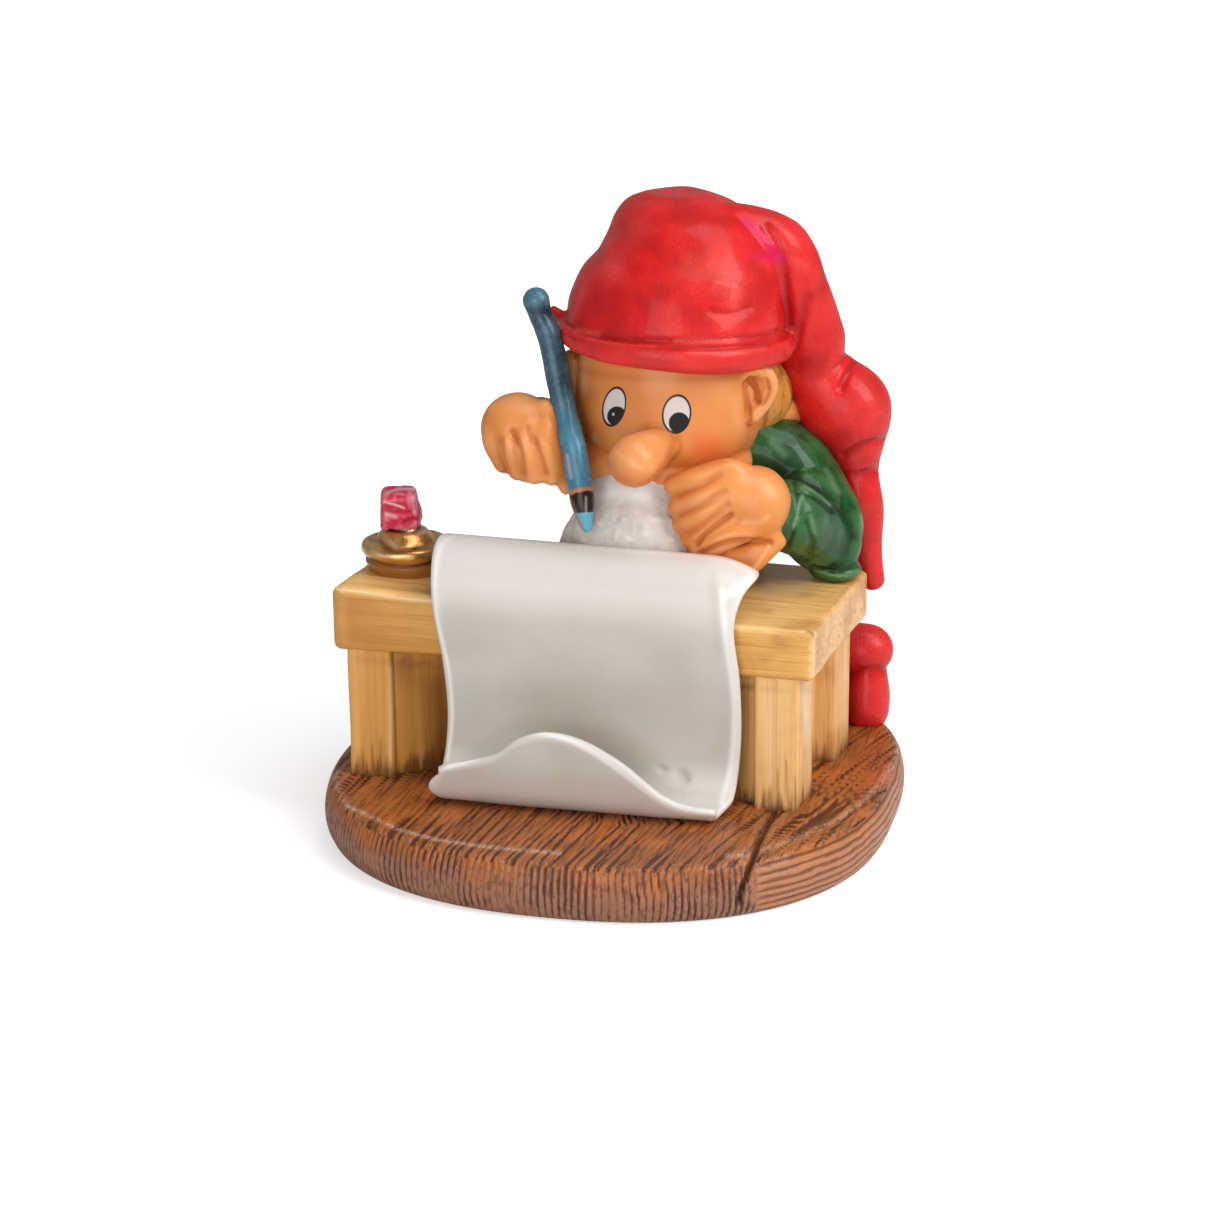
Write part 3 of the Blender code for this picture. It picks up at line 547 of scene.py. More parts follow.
def touch(mesh, pressed="", light="", dark=""):
    """Press strokes into a surface, in millimetres, and store its light and dark brush strokes: mostly
    painted highlights and painted shade, with a few real marks.
    """
    normals = neighbour_mean(mesh, normals_of(mesh), 3)
    sink = strokes(mesh, pressed) * MM
    put_points(mesh, points_of(mesh) - normals * sink[:, None])
    store(mesh, "light", np.clip(strokes(mesh, light), 0.0, 1.0))
    store(mesh, "dark", np.clip(strokes(mesh, dark), 0.0, 1.0))


def roughen(mesh, size, depth, seed, stretch=(1.0, 1.0, 1.0)):
    """Let a surface wander in and out, as hand work does."""
    points, normals = points_of(mesh), normals_of(mesh)
    lift = grid_noise(points / np.array(stretch), size * MM, seed)
    put_points(mesh, points + normals * (lift * depth * MM)[:, None])


# Paint

class Paint:
    """A material and short ways to wire its nodes."""

    def __init__(self, name, roughness=0.35, coat=0.0, coat_roughness=0.15, specular=0.28):
        self.material = bpy.data.materials.new(name)
        self.material.use_nodes = True
        self.tree = self.material.node_tree
        self.shader = self.tree.nodes["Principled BSDF"]
        for socket, value in (("Roughness", roughness), ("Coat Weight", coat),
                              ("Coat Roughness", coat_roughness), ("Specular IOR Level", specular)):
            self.shader.inputs[socket].default_value = value

    def node(self, kind, inputs=None, **settings):
        """Add a node; an input's value is a number, a colour or another node's output."""
        made = self.tree.nodes.new(kind)
        for name, value in settings.items():
            setattr(made, name, value)
        for socket, value in (inputs or {}).items():
            self.feed(made.inputs[socket], value)
        return made

    def feed(self, socket, value):
        """Set or link one input."""
        if isinstance(value, bpy.types.NodeSocket):
            self.tree.links.new(value, socket)
        elif socket.type == "RGBA":
            socket.default_value = (*value[:3], 1.0)
        else:
            socket.default_value = value

    def group(self, tree, **inputs):
        """The outputs of a node group; underscores in input names stand for spaces."""
        made = self.node("ShaderNodeGroup", node_tree=tree)
        for name, value in inputs.items():
            self.feed(made.inputs[name.replace("_", " ")], value)
        return made.outputs

    def stored(self, name):
        """A number kept at the mesh's points."""
        return self.node("ShaderNodeAttribute", attribute_name=name).outputs["Fac"]

    def split(self, vector):
        """The three coordinates of a vector."""
        return self.node("ShaderNodeSeparateXYZ", inputs={0: vector}).outputs

    def place(self):
        """Object coordinates."""
        return self.node("ShaderNodeTexCoord").outputs["Object"]

    def mix(self, factor, one, two):
        """Blend two colours."""
        return self.node("ShaderNodeMix", data_type="RGBA", inputs={0: factor, 6: one, 7: two}).outputs[2]

    def lay(self, amount, paint):
        """Lay one more paint over the coat so far, as thick as the amount from 0 to 1."""
        self.tone = self.mix(amount, self.tone, paint)

    def coats(self, masks, **paints):
        """Lay paints one after the other where the masks of those names are, each by its share."""
        for name, (share, paint) in paints.items():
            self.lay(self.times(masks[name], share), paint)

    def math(self, operation, one, two=0.0, clamp=False):
        """One operation on numbers."""
        return self.node("ShaderNodeMath", operation=operation, use_clamp=clamp,
                         inputs={0: one, 1: two}).outputs[0]

    def plus(self, one, two):
        """The sum of two numbers."""
        return self.math("ADD", one, two)

    def less(self, one, two):
        """The first number less the second."""
        return self.math("SUBTRACT", one, two)

    def times(self, one, two):
        """The product of two numbers."""
        return self.math("MULTIPLY", one, two)

    def ramp(self, value, low, high, to_low=0.0, to_high=1.0):
        """Stretch the range between two values to another range, softly and clamped."""
        made = self.node("ShaderNodeMapRange", interpolation_type="SMOOTHSTEP",
                         inputs={"Value": value, "From Min": low, "From Max": high, "To Min": to_low,
                                 "To Max": to_high})
        return made.outputs["Result"]

    def noise(self, vector, scale, detail=3.0, roughness=0.55, distortion=0.0):
        """Cloudy values from 0 to 1."""
        made = self.node("ShaderNodeTexNoise",
                         inputs={"Vector": vector, "Scale": scale, "Detail": detail, "Roughness": roughness,
                                 "Distortion": distortion})
        return made.outputs["Fac"]

    def stretched(self, vector, scale, turn=(0.0, 0.0, 0.0)):
        """Coordinates turned and scaled, for patterns that run one way."""
        made = self.node("ShaderNodeMapping", inputs={"Vector": vector, "Scale": scale, "Rotation": turn})
        return made.outputs["Vector"]

    def finish(self, roughness=None, bump=None, distance=0.0001, strength=1.0):
        """Connect the coats' colour, the roughness and the bump height to the shader."""
        self.feed(self.shader.inputs["Base Color"], self.tone)
        if roughness is not None:
            self.feed(self.shader.inputs["Roughness"], roughness)
        if bump is not None:
            made = self.node("ShaderNodeBump",
                             inputs={"Height": bump, "Distance": distance, "Strength": strength})
            self.feed(self.shader.inputs["Normal"], made.outputs["Normal"])
        return self.material


class Group(Paint):
    """A shader node group and the same short ways to wire its nodes."""

    def __init__(self, name, inputs, outputs):
        self.tree = bpy.data.node_groups.new(name, "ShaderNodeTree")
        for socket, kind, value in inputs:
            made = self.tree.interface.new_socket(socket, in_out="INPUT", socket_type="NodeSocket" + kind)
            made.default_value = value
        for socket in outputs:
            self.tree.interface.new_socket(socket, in_out="OUTPUT", socket_type="NodeSocketFloat")
        self.given = self.tree.nodes.new("NodeGroupInput").outputs
        self.result = self.tree.nodes.new("NodeGroupOutput").inputs

    def output(self, **values):
        """Connect the group's results."""
        for name, value in values.items():
            self.feed(self.result[name.replace("_", " ")], value)
        return self.tree


def shared(name):
    """Let a group be made only once under its name."""
    def keeper(make):
        return lambda: bpy.data.node_groups.get(name) or make(name)
    return keeper


@shared("paint_in_relief")
def relief_group(name):
    """Masks of a casting's hollows and ridges, broken up as brushed paint is, and the stored strokes of
    painted highlights and painted shade.
    """
    g = Group(name, [("Grain", "Float", 900.0), ("Spread", "Float", 0.35)],
              ("Hollow", "Ridge", "Light", "Dark"))
    mottle = g.noise(g.place(), g.given["Grain"], detail=4.0, roughness=0.6)
    shift = g.times(g.less(mottle, 0.5), g.given["Spread"])
    level = g.plus(g.stored("relief"), shift)
    return g.output(Hollow=g.ramp(level, -0.02, -0.5), Ridge=g.ramp(level, 0.08, 0.6),
                    Light=g.stored("light"), Dark=g.stored("dark"))


@shared("brush_marks")
def brush_group(name):
    """Fine brush marks and soft clouds of thicker and thinner paint."""
    g = Group(name, [("Cloud Size", "Float", 0.008), ("Mark Size", "Float", 0.0006)],
              ("Clouds", "Marks", "Height"))
    place = g.place()
    clouds = g.noise(place, g.math("DIVIDE", 1.0, g.given["Cloud Size"]), detail=3.0)
    lean = g.stretched(place, (1.0, 0.35, 0.8), (0.5, 0.3, 0.7))
    marks = g.noise(lean, g.math("DIVIDE", 1.0, g.given["Mark Size"]), detail=5.0, roughness=0.65)
    height = g.plus(g.times(clouds, 0.6), g.times(marks, 0.4))
    return g.output(Clouds=clouds, Marks=marks, Height=height)


@shared("painted_grain")
def grain_group(name):
    """Wood grain painted in streaks along one direction."""
    g = Group(name, [("Vector", "Vector", (0.0, 0.0, 0.0)), ("Width", "Float", 0.0011)],
              ("Broad", "Fine", "Height"))
    size = g.math("DIVIDE", 1.0, g.given["Width"])
    broad = g.noise(g.given["Vector"], g.times(size, 0.3), detail=2.0, distortion=0.4)
    fine = g.noise(g.given["Vector"], size, detail=4.0, roughness=0.6)
    lines = g.ramp(fine, 0.50, 0.66)
    height = g.less(g.times(broad, 0.5), g.times(lines, 0.5))
    return g.output(Broad=broad, Fine=lines, Height=height)


@shared("painted_oval")
def oval_group(name):
    """How far a place lies from the middle of a painted oval, where 1 is its edge."""
    g = Group(name, [("Centre", "Vector", (0.0, 0.0, 0.0)), ("Across", "Vector", (1.0, 0.0, 0.0)),
                     ("Up", "Vector", (0.0, 0.0, 1.0))], ("Distance",))
    offset = g.node("ShaderNodeVectorMath", operation="SUBTRACT")
    g.feed(offset.inputs[0], g.place())
    g.feed(offset.inputs[1], g.given["Centre"])
    squares = []
    for axis in ("Across", "Up"):
        dot = g.node("ShaderNodeVectorMath", operation="DOT_PRODUCT")
        g.feed(dot.inputs[0], offset.outputs["Vector"])
        g.feed(dot.inputs[1], g.given[axis])
        squares.append(g.math("POWER", g.math("ABSOLUTE", dot.outputs["Value"]), 2.0))
    return g.output(Distance=g.math("SQRT", g.plus(*squares)))


# The base

def superellipse(half_width, half_depth, count):
    """An outline that is rounder at the front than at the back."""
    outline = []
    for i in range(count):
        angle = 2 * math.pi * i / count
        power = BASE_BACK_POWER if math.sin(angle) > 0 else BASE_FRONT_POWER
        across = math.copysign(abs(math.cos(angle)) ** (2 / power), math.cos(angle))
        along = math.copysign(abs(math.sin(angle)) ** (2 / power), math.sin(angle))
        outline.append((half_width * across, half_depth * along))
    return outline


def even_outline(half_width, half_depth, count):
    """The superellipse with its points spread evenly."""
    fine = superellipse(half_width, half_depth, BASE_OUTLINE_STEPS)
    fine.append(fine[0])
    reach = [0.0]
    for (x0, y0), (x1, y1) in zip(fine, fine[1:]):
        reach.append(reach[-1] + math.hypot(x1 - x0, y1 - y0))
    wanted = np.linspace(0.0, reach[-1], count, endpoint=False)
    xs = np.interp(wanted, reach, [x for x, _ in fine])
    ys = np.interp(wanted, reach, [y for _, y in fine])
    return list(zip(xs, ys))


class Carving(Paint):
    """A geometry node tree, wired in the same short ways."""

    def __init__(self, name, inputs):
        self.tree = bpy.data.node_groups.new(name, "GeometryNodeTree")
        face = self.tree.interface
        face.new_socket("Geometry", in_out="INPUT", socket_type="NodeSocketGeometry")
        for socket, kind in inputs:
            face.new_socket(socket, in_out="INPUT", socket_type="NodeSocket" + kind)
        face.new_socket("Geometry", in_out="OUTPUT", socket_type="NodeSocketGeometry")
        self.given = self.tree.nodes.new("NodeGroupInput").outputs
        self.result = self.tree.nodes.new("NodeGroupOutput").inputs

    def set_on(self, obj, **values):
        """Add the tree to an object with the given input values."""
        modifier = obj.modifiers.new("carving", "NODES")
        modifier.node_group = self.tree
        for item in self.tree.interface.items_tree:
            if item.item_type == "SOCKET" and item.in_out == "INPUT" and item.name != "Geometry":
                modifier[item.identifier] = values[item.name.replace(" ", "_").lower()]


def groove_tree():
    """Carved wood grain: grooves on the top and the front, and long lines on the right flank."""
    g = Carving("carved_grain",
                [("Pitch", "Float"), ("Depth", "Float"), ("Lean", "Float"), ("Seed", "Float"),
                 ("Flank Start", "Float"), ("Wood", "Material")])
    place = g.node("GeometryNodeInputPosition").outputs[0]
    normal = g.node("GeometryNodeInputNormal").outputs[0]
    xyz = g.split(place)
    facing = g.split(normal)
    fan = g.plus(g.given["Lean"], g.times(xyz[0], 2.6))
    across = g.less(xyz[0], g.times(xyz[1], fan))
    sharp = g.math("DIVIDE", 1.0, g.given["Pitch"])
    long = g.times(g.times(xyz[1], sharp), 0.022)

    def lines(value, stretch, offset):
        spot = g.node("ShaderNodeCombineXYZ",
                      inputs={0: g.times(value, sharp), 1: stretch, 2: g.plus(g.given["Seed"], offset)})
        return g.noise(spot.outputs[0], 1.0, detail=1.0, roughness=0.4)

    top = lines(across, long, 0.0)
    level = g.times(xyz[2], 1.25)
    flank = lines(level, g.times(long, 1.3), 31.0)
    on_side = g.ramp(facing[2], 0.75, 0.35)
    to_right = g.ramp(xyz[0], g.given["Flank Start"], g.plus(g.given["Flank Start"], 0.0025))
    facing_right = g.ramp(facing[1], 0.6, 0.3)
    share = g.times(g.times(on_side, to_right), facing_right)
    blend = g.node("ShaderNodeMix", data_type="FLOAT")
    for index, value in ((0, share), (2, top), (3, flank)):
        g.feed(blend.inputs[index], value)
    carve = g.ramp(blend.outputs[0], 0.52, 0.64)
    wander = g.noise(place, 160.0, detail=2.0)
    carve = g.times(carve, g.ramp(wander, 0.25, 0.6, 0.35, 1.0))
    carve = g.times(carve, g.ramp(on_side, 0.2, 0.8, 1.0, 0.15))
    around = g.node("GeometryNodeInputNamedAttribute", data_type="FLOAT",
                    inputs={"Name": "around"}).outputs[0]
    sway = g.times(g.noise(place, 70.0, detail=2.0), 9.0)

    def ridges(value, pitches, low):
        turn = g.times(g.times(value, sharp), 2 * math.pi / pitches)
        return g.ramp(g.math("SINE", g.plus(turn, sway)), low, 1.0)

    broken = g.ramp(wander, 0.3, 0.62, 1.0, 0.35)
    on_top = g.times(g.times(ridges(across, 2.0, 0.2), broken), g.ramp(on_side, 0.0, 1.0, 0.5, 0.0))
    upright = g.times(g.less(1.0, share), g.ramp(on_side, 0.1, 0.7))
    upright = g.times(g.times(ridges(around, 1.75, 0.15), broken), upright)
    level_lines = g.times(ridges(level, 2.5, 0.1), share)
    for lines_cut in (on_top, upright, level_lines):
        carve = g.math("MAXIMUM", carve, lines_cut)
    sink = g.times(g.times(carve, g.given["Depth"]), -1.0)
    offset = g.node("ShaderNodeVectorMath", operation="SCALE", inputs={0: normal, "Scale": sink})
    keep_flat = g.ramp(facing[2], -0.9, -0.6)
    moved = g.node("ShaderNodeVectorMath", operation="SCALE",
                   inputs={0: offset.outputs[0], "Scale": keep_flat})
    kept = g.node("GeometryNodeStoreNamedAttribute", data_type="FLOAT", domain="POINT",
                  inputs={"Geometry": g.given["Geometry"], "Name": "carve", "Value": carve})
    shifted = g.node("GeometryNodeSetPosition",
                     inputs={"Geometry": kept.outputs[0], "Offset": moved.outputs[0]})
    real = g.node("GeometryNodeRealizeInstances", inputs={"Geometry": shifted.outputs[0]})
    wood = g.node("GeometryNodeSetMaterial",
                  inputs={"Geometry": real.outputs[0], "Material": g.given["Wood"]})
    g.feed(g.result["Geometry"], wood.outputs[0])
    return g


def base_paint(settings):
    """Red-brown carved wood: dark wash in the grooves, dry light paint on the rim with painted highlights
    along its edge and by the crack, and a right flank paler with painted light.
    """
    p = Paint("base_wood_paint", roughness=0.38, coat=0.15, coat_roughness=0.16)
    place = p.place()
    carve = p.stored("carve")
    relief = p.group(relief_group(), Grain=700.0, Spread=0.7)
    grain = p.group(grain_group(), Vector=p.stretched(place, (1.0, 0.05, 0.4), (0.0, 0.0, 0.13)),
                    Width=0.0006)
    brush = p.group(brush_group(), Cloud_Size=0.010, Mark_Size=0.0004)
    height = p.split(place)["Z"]
    level = p.plus(height, p.times(p.less(brush["Clouds"], 0.5), 0.006))
    side = p.ramp(level, BASE_HEIGHT * 0.96, BASE_HEIGHT * 0.4, 0.0, 0.85)
    p.tone = p.mix(p.ramp(brush["Clouds"], 0.38, 0.66), settings.ridge,
                   [c * f for c, f in zip(settings.ridge, (1.45, 1.3, 1.1))])
    p.lay(side, settings.dusky)
    across = p.split(place)["X"]
    # Painted light: the side right of the crack paler, where the light falls from the right
    flank = p.times(p.ramp(across, CRACK_PLACE, CRACK_PLACE + 2 * MM),
                    p.ramp(height, BASE_HEIGHT * 0.96, BASE_HEIGHT * 0.8))
    fine = p.times(grain["Fine"], p.less(1.0, flank))
    p.lay(p.times(fine, 0.5), settings.groove)
    p.lay(p.times(flank, 0.55), LIT_FLANK)
    faint = p.less(1.0, p.times(flank, 0.45))
    p.lay(p.times(p.ramp(carve, 0.08, 0.65, 0.0, 0.85), faint), settings.groove)
    dry = p.times(relief["Ridge"], p.ramp(brush["Marks"], 0.46, 0.62))
    p.lay(p.times(dry, 0.22), settings.worn_and_highlight)
    # Painted highlights along the rim and by the crack, from the light strokes
    rim_highlights = p.times(relief["Light"], p.ramp(brush["Marks"], 0.38, 0.56))
    p.lay(rim_highlights, settings.worn_and_highlight)
    p.coats(relief, Hollow=(0.4, settings.groove), Dark=(0.92, [c * 0.5 for c in settings.groove]))
    rough = p.ramp(brush["Marks"], 0.3, 0.7, 0.3, 0.48)
    return p.finish(rough, grain["Height"], 0.00015)


class FIGURINE_OT_base(bpy.types.Operator):
    """Make the round wooden base with its carved grain and crack"""

    bl_idname = "figurine.base"
    bl_label = "Base"

    def execute(self, context):
        settings = context.scene.figurine_base
        levels = ((0.0, 1.0), (0.03, 0.72), (0.1, 0.45), (0.3, 0.08), (0.55, 0.0), (0.8, 0.22), (0.94, 0.5),
                  (0.99, 0.72), (1.0, 0.95))
        heights = BASE_HEIGHT * np.clip(curve_through([height for height, _ in levels], 8), 0.0, 1.0)
        insets = BASE_BULGE * np.array(curve_through([inset for _, inset in levels], 8))
        run = np.concatenate(([0.0], np.cumsum(np.hypot(np.diff(heights), np.diff(insets)))))
        even = np.linspace(0.0, run[-1], BASE_SIDE_RINGS)
        rings = list(zip(np.interp(even, run, heights), np.interp(even, run, insets)))
        outer = even_outline(BASE_WIDTH / 2, BASE_DEPTH / 2, BASE_AROUND)
        bm = bmesh.new()
        loops = []
        for height, inset in rings:
            share_x = 1 - inset / (BASE_WIDTH / 2)
            share_y = 1 - inset / (BASE_DEPTH / 2)
            loops.append([(x * share_x, y * share_y, height) for x, y in outer])
        rim = loops[-1]
        for step in range(1, FINE_RINGS + COARSE_RINGS + 1):
            inward = min(step, FINE_RINGS) * FINE_RING + max(step - FINE_RINGS, 0) * COARSE_RING
            share = 1 - inward * 2 / BASE_WIDTH
            loops.append([(x * share, y * share, BASE_HEIGHT) for x, y, _ in rim])
        under = loops[0]
        loops = [[(x * s, y * s, 0.0) for x, y, _ in under] for s in (0.05, 0.4, 0.8)] + loops
        skin(bm, loops)
        base = make_object("base_plain", bm)
        spots = points_of(base.data)
        line = np.array(outer + outer[:1])
        run = np.concatenate(([0.0], np.cumsum(np.linalg.norm(np.diff(line, axis=0), axis=1))))
        store(base.data, "around", run[np.arange(len(spots)) % BASE_AROUND])
        wood = base_paint(settings)
        tree = groove_tree()
        tree.set_on(base, pitch=settings.groove_pitch, depth=settings.groove_depth,
                    lean=settings.grain_lean, seed=float(settings.seed), flank_start=CRACK_PLACE + 0.3 * MM,
                    wood=wood)
        base = baked(base, "carved_base")
        # The crack is pressed in and darkened; the light strokes are painted highlights along the rim, by
        # the crack and on the right rim
        crack = "774,812 765,828 757,845 750,868 743,888 739,903"
        rim = "347,806 372,817 396,828 430,838 472,845 520,850 560,853"
        touch(base.data, pressed=f"{crack} 2.6 1.5",
              light=f"{rim} 1.8 0.85; 728,856 748,855 2.6 0.8; 744,848 740,862 1.2 0.7; "
              f"756,852 775,846 807,834 855,808 890,770 899,742 3 0.5; "
              f"334,765 336,782 345,800 3 0.35", dark=f"{crack} 2.6 1")
        keep(base, wood, (10, 0.16))
        return {"FINISHED"}


# The table

def skewed(points):
    """Slide a form's rear to the right, as the whole table leans in plan."""
    points[:, 0] += PLANK_SKEW * (points[:, 1] - FRONT)
    return points


def table_paint(name, settings, stretch, feet):
    """Honey paint with grain painted along the plank or down the legs, and painted light: paler towards the
    right, darker at the plank's left end, lit top and end faces, painted highlights on edges and painted
    shade under the plank and in the recess.
    """
    p = Paint(name, roughness=0.36, coat=0.2, coat_roughness=0.14)
    place = p.place()
    xyz = p.split(place)
    vector = p.stretched(place, stretch)
    grain = p.group(grain_group(), Vector=vector, Width=0.0010)
    fine = p.group(grain_group(), Vector=p.stretched(place, [s * 3.1 for s in stretch]), Width=0.0010)
    brush = p.group(brush_group(), Cloud_Size=0.012, Mark_Size=0.0005)
    relief = p.group(relief_group(), Grain=500.0, Spread=0.3)
    # Painted light: the wood paler towards the right, where the light falls
    to_right = p.ramp(xyz["X"], -0.045, 0.045, 0.0, 0.55)
    p.tone = p.mix(p.ramp(grain["Broad"], 0.38, 0.64, 0.0, 0.6), settings.wood, settings.pale)
    p.lay(to_right, settings.pale)
    if not feet:
        # Painted shade darkening the plank towards its left end
        p.lay(p.ramp(xyz["X"], -0.025, -0.05, 0.0, 0.6), SHADED_HONEY)
        end = TABLE_X + TABLE_LENGTH / 2
        along = p.less(xyz["X"], p.times(p.less(xyz["Y"], FRONT), PLANK_SKEW))
        level = p.plus(xyz["Z"], p.times(p.less(along, TABLE_X), PLANK_RISE / TABLE_LENGTH))
        p.lay(p.ramp(level, TABLE_TOP - 1.1 * MM, TABLE_TOP - 0.4 * MM, 0.0, 0.85), LIT_TOP)
        p.lay(p.ramp(along, end - 1.1 * MM, end - 0.4 * MM, 0.0, 0.8), LIT_END)
    else:
        p.lay(p.ramp(xyz["X"], 0.018, 0.036, 0.0, 0.6), LIT_LEGS)
    p.lay(p.ramp(brush["Clouds"], 0.5, 0.72, 0.0, 0.5), settings.streak)
    p.lay(p.times(grain["Fine"], 0.22 if feet else 0.36), settings.streak)
    p.lay(p.times(fine["Fine"], 0.12 if feet else 0.26), settings.streak)
    # Paler ridges and darker hollows; painted highlights from the light strokes, and from the dark strokes
    # painted shade with the nick and a few brown lines
    p.coats(relief, Ridge=(0.25, settings.pale), Hollow=(0.5, settings.streak), Light=(0.8, HONEY_HIGHLIGHT),
            Dark=(0.9, settings.shadow))
    if feet:
        streaks = p.noise(p.stretched(place, (1.0, 1.0, 0.12)), 1000.0, detail=4.0)
        reach = p.less(xyz["Z"], p.times(p.less(streaks, 0.5), 0.012))
        p.lay(p.ramp(reach, BASE_HEIGHT + 4.5 * MM, BASE_HEIGHT - 1.0 * MM, 0.0, 0.85), settings.stain)
    rough = p.ramp(brush["Marks"], 0.3, 0.7, 0.27, 0.42)
    return p.finish(rough, grain["Height"], 0.00012)


class FIGURINE_OT_table(bpy.types.Operator):
    """Make the plank table: a thick plank on four legs round a recessed panel"""

    bl_idname = "figurine.table"
    bl_label = "Table"

    def execute(self, context):
        settings = context.scene.figurine_table
        half = TABLE_LENGTH / 2
        underside = TABLE_TOP - PLANK_THICKNESS
        bm = bmesh.new()
        slab(bm, (TABLE_X - half, FRONT, underside), (TABLE_X + half, BACK, TABLE_TOP), PLANK_EDGE,
             (90, 100, 28))
        plank = make_object("plank", bm)
        points = points_of(plank.data)
        left = (TABLE_X + half - points[:, 0]) / TABLE_LENGTH
        up = (points[:, 2] - underside) / PLANK_THICKNESS
        points[:, 2] += up * PLANK_RISE * (left - 0.5) - (1 - up) * PLANK_RISE * 0.35 * left
        put_points(plank.data, skewed(points))
        depth = settings.hand_cut / MM
        roughen(plank.data, 14.0, depth, 3, (1.6, 1.0, 1.0))
        roughen(plank.data, 3.2, depth * 0.22, 5, (3.0, 1.0, 1.0))
        mark_relief(plank.data, 14, 0.2)
        # Light strokes: painted highlights on the lit edges and beside the nick; dark strokes: the nick, a
        # brown line on the top-right edge and painted shade along the plank's lower edge
        touch(plank.data, pressed="809,633 813,634 1.6 0.5",
              light="340,590 350,590 400,598 432,601 1.8 0.7; 726,625 770,629 806,632 1.2 0.5; "
              "815,633 816,636 1.3 1; 814,640 814,680 1.6 0.45",
              dark="808,631 813,634 1.5 0.9; 815,629 838,600 862,573 1.1 0.45; "
              "340,652 400,659 440,662 2 0.35; 738,683 775,685 810,686 1.6 0.45")
        keep(plank, table_paint("plank_paint", settings, (0.03, 0.7, 1.0), False))

        low, high = BASE_HEIGHT - 0.8 * MM, underside + PLANK_THICKNESS / 2
        rear = BACK - LEG_DEPTH - LEG_INSET
        bm = bmesh.new()
        for side, y in ((-1, FRONT), (1, FRONT), (-1, rear), (1, rear)):
            outer = TABLE_X + side * (half - LEG_INSET)
            inner = outer - side * LEG_WIDTH
            slab(bm, (min(inner, outer), y + LEG_INSET / 4, low), (max(inner, outer), y + LEG_DEPTH, high),
                 LEG_EDGE, (22, 28, 34))
        legs = make_object("legs", bm)
        put_points(legs.data, skewed(points_of(legs.data)))
        roughen(legs.data, 7.0, depth, 11, (1.0, 1.0, 2.4))
        roughen(legs.data, 2.0, depth * 0.3, 12, (1.0, 1.0, 5.0))
        mark_relief(legs.data, 12, 0.2)
        # Light strokes: painted highlights down the lit leg corners; dark strokes: painted shade under the
        # plank and on the inner faces, and thin dark streaks at the feet
        touch(legs.data, light="391,664 391,720 390,776 2.2 0.5; 803,690 808,740 810,800 3 0.5; "
              "770,690 770,780 6 0.3", dark="397,665 400,720 400,775 4 0.5; 357,660 394,663 2.5 0.4; "
              "762,688 812,690 2 0.35; 786,760 787,800 1 0.6; 795,775 796,803 0.9 0.6; "
              "777,770 778,800 0.9 0.5; 372,745 373,772 1.4 0.6; 381,740 380,775 1.4 0.6; "
              "362,752 362,775 1.4 0.5")
        down = table_paint("leg_paint", settings, (0.8, 0.8, 0.025), True)
        keep(legs, down)

        x0 = TABLE_X - half + LEG_INSET + LEG_WIDTH / 2
        x1 = TABLE_X + half - LEG_INSET - LEG_WIDTH / 2
        step, lip = FRONT + PANEL_RECESS, FRONT + LEG_INSET
        end, pocket = BACK - LEG_INSET * 2, FRONT + PANEL_POCKET
        outline = [(x0, lip), (x0 + LEG_WIDTH / 2 - LEG_EDGE, lip), (TABLE_X + POCKET_LEFT, pocket),
                   (TABLE_X + POCKET_RIGHT, pocket), (TABLE_X + POCKET_RIGHT + PANEL_RECESS, step),
                   (x1, step), (x1, end), (x0, end)]
        fine = []
        for (ax, ay), (bx, by) in zip(outline, outline[1:] + outline[:1]):
            count = max(1, round(math.hypot(bx - ax, by - ay) / (1.2 * MM)))
            fine += [(ax + (bx - ax) * i / count, ay + (by - ay) * i / count) for i in range(count)]
        bm = bmesh.new()
        skin(bm, [[Vector((x, y, low + (high - low) * i / 30)) for x, y in fine] for i in range(31)])
        panel = make_object("panel", bm)
        put_points(panel.data, skewed(points_of(panel.data)))
        roughen(panel.data, 6.0, depth * 0.7, 14, (1.0, 1.0, 2.4))
        mark_relief(panel.data, 6, 0.2)
        # Dark strokes: painted shade in the recess behind the legs
        touch(panel.data, dark="404,668 425,690 440,760 13 0.45; 440,680 446,720 442,765 10 0.75; "
              "400,662 450,666 4 0.5; 740,690 742,800 7 0.4; 735,686 762,688 3 0.5")
        keep(panel, down)
        return {"FINISHED"}


# The scroll and the beard

def scroll_profile():
    """The scroll's middle line in Y and Z, from under the beard to the end of the flap."""
    foot = BASE_HEIGHT + SCROLL_THICKNESS * 0.42
    drop = TABLE_TOP - foot
    rise = SCROLL_RISE
    return [(TABLE_Y + 6.0 * MM, TABLE_TOP + SCROLL_THICKNESS * 0.3), (TABLE_Y, TABLE_TOP + rise * 0.3),
            (FRONT + 13.0 * MM, TABLE_TOP + rise * 0.8), (FRONT + 6.0 * MM, TABLE_TOP + rise),
            (FRONT + 0.8 * MM, TABLE_TOP + rise * 0.72), (FRONT - 1.8 * MM, TABLE_TOP),
            (FRONT - 1.7 * MM, foot + drop * 0.7), (FRONT - 0.6 * MM, foot + drop * 0.42),
            (FRONT - 0.6 * MM, foot + drop * 0.2), (FRONT - 2.8 * MM, foot + drop * 0.045),
            (FRONT - 6.8 * MM, foot), (FRONT - 10.4 * MM, foot + drop * 0.05),
            (FRONT - 12.4 * MM, foot + drop * 0.2), (FRONT - 13.0 * MM, foot + SCROLL_FLAP)]


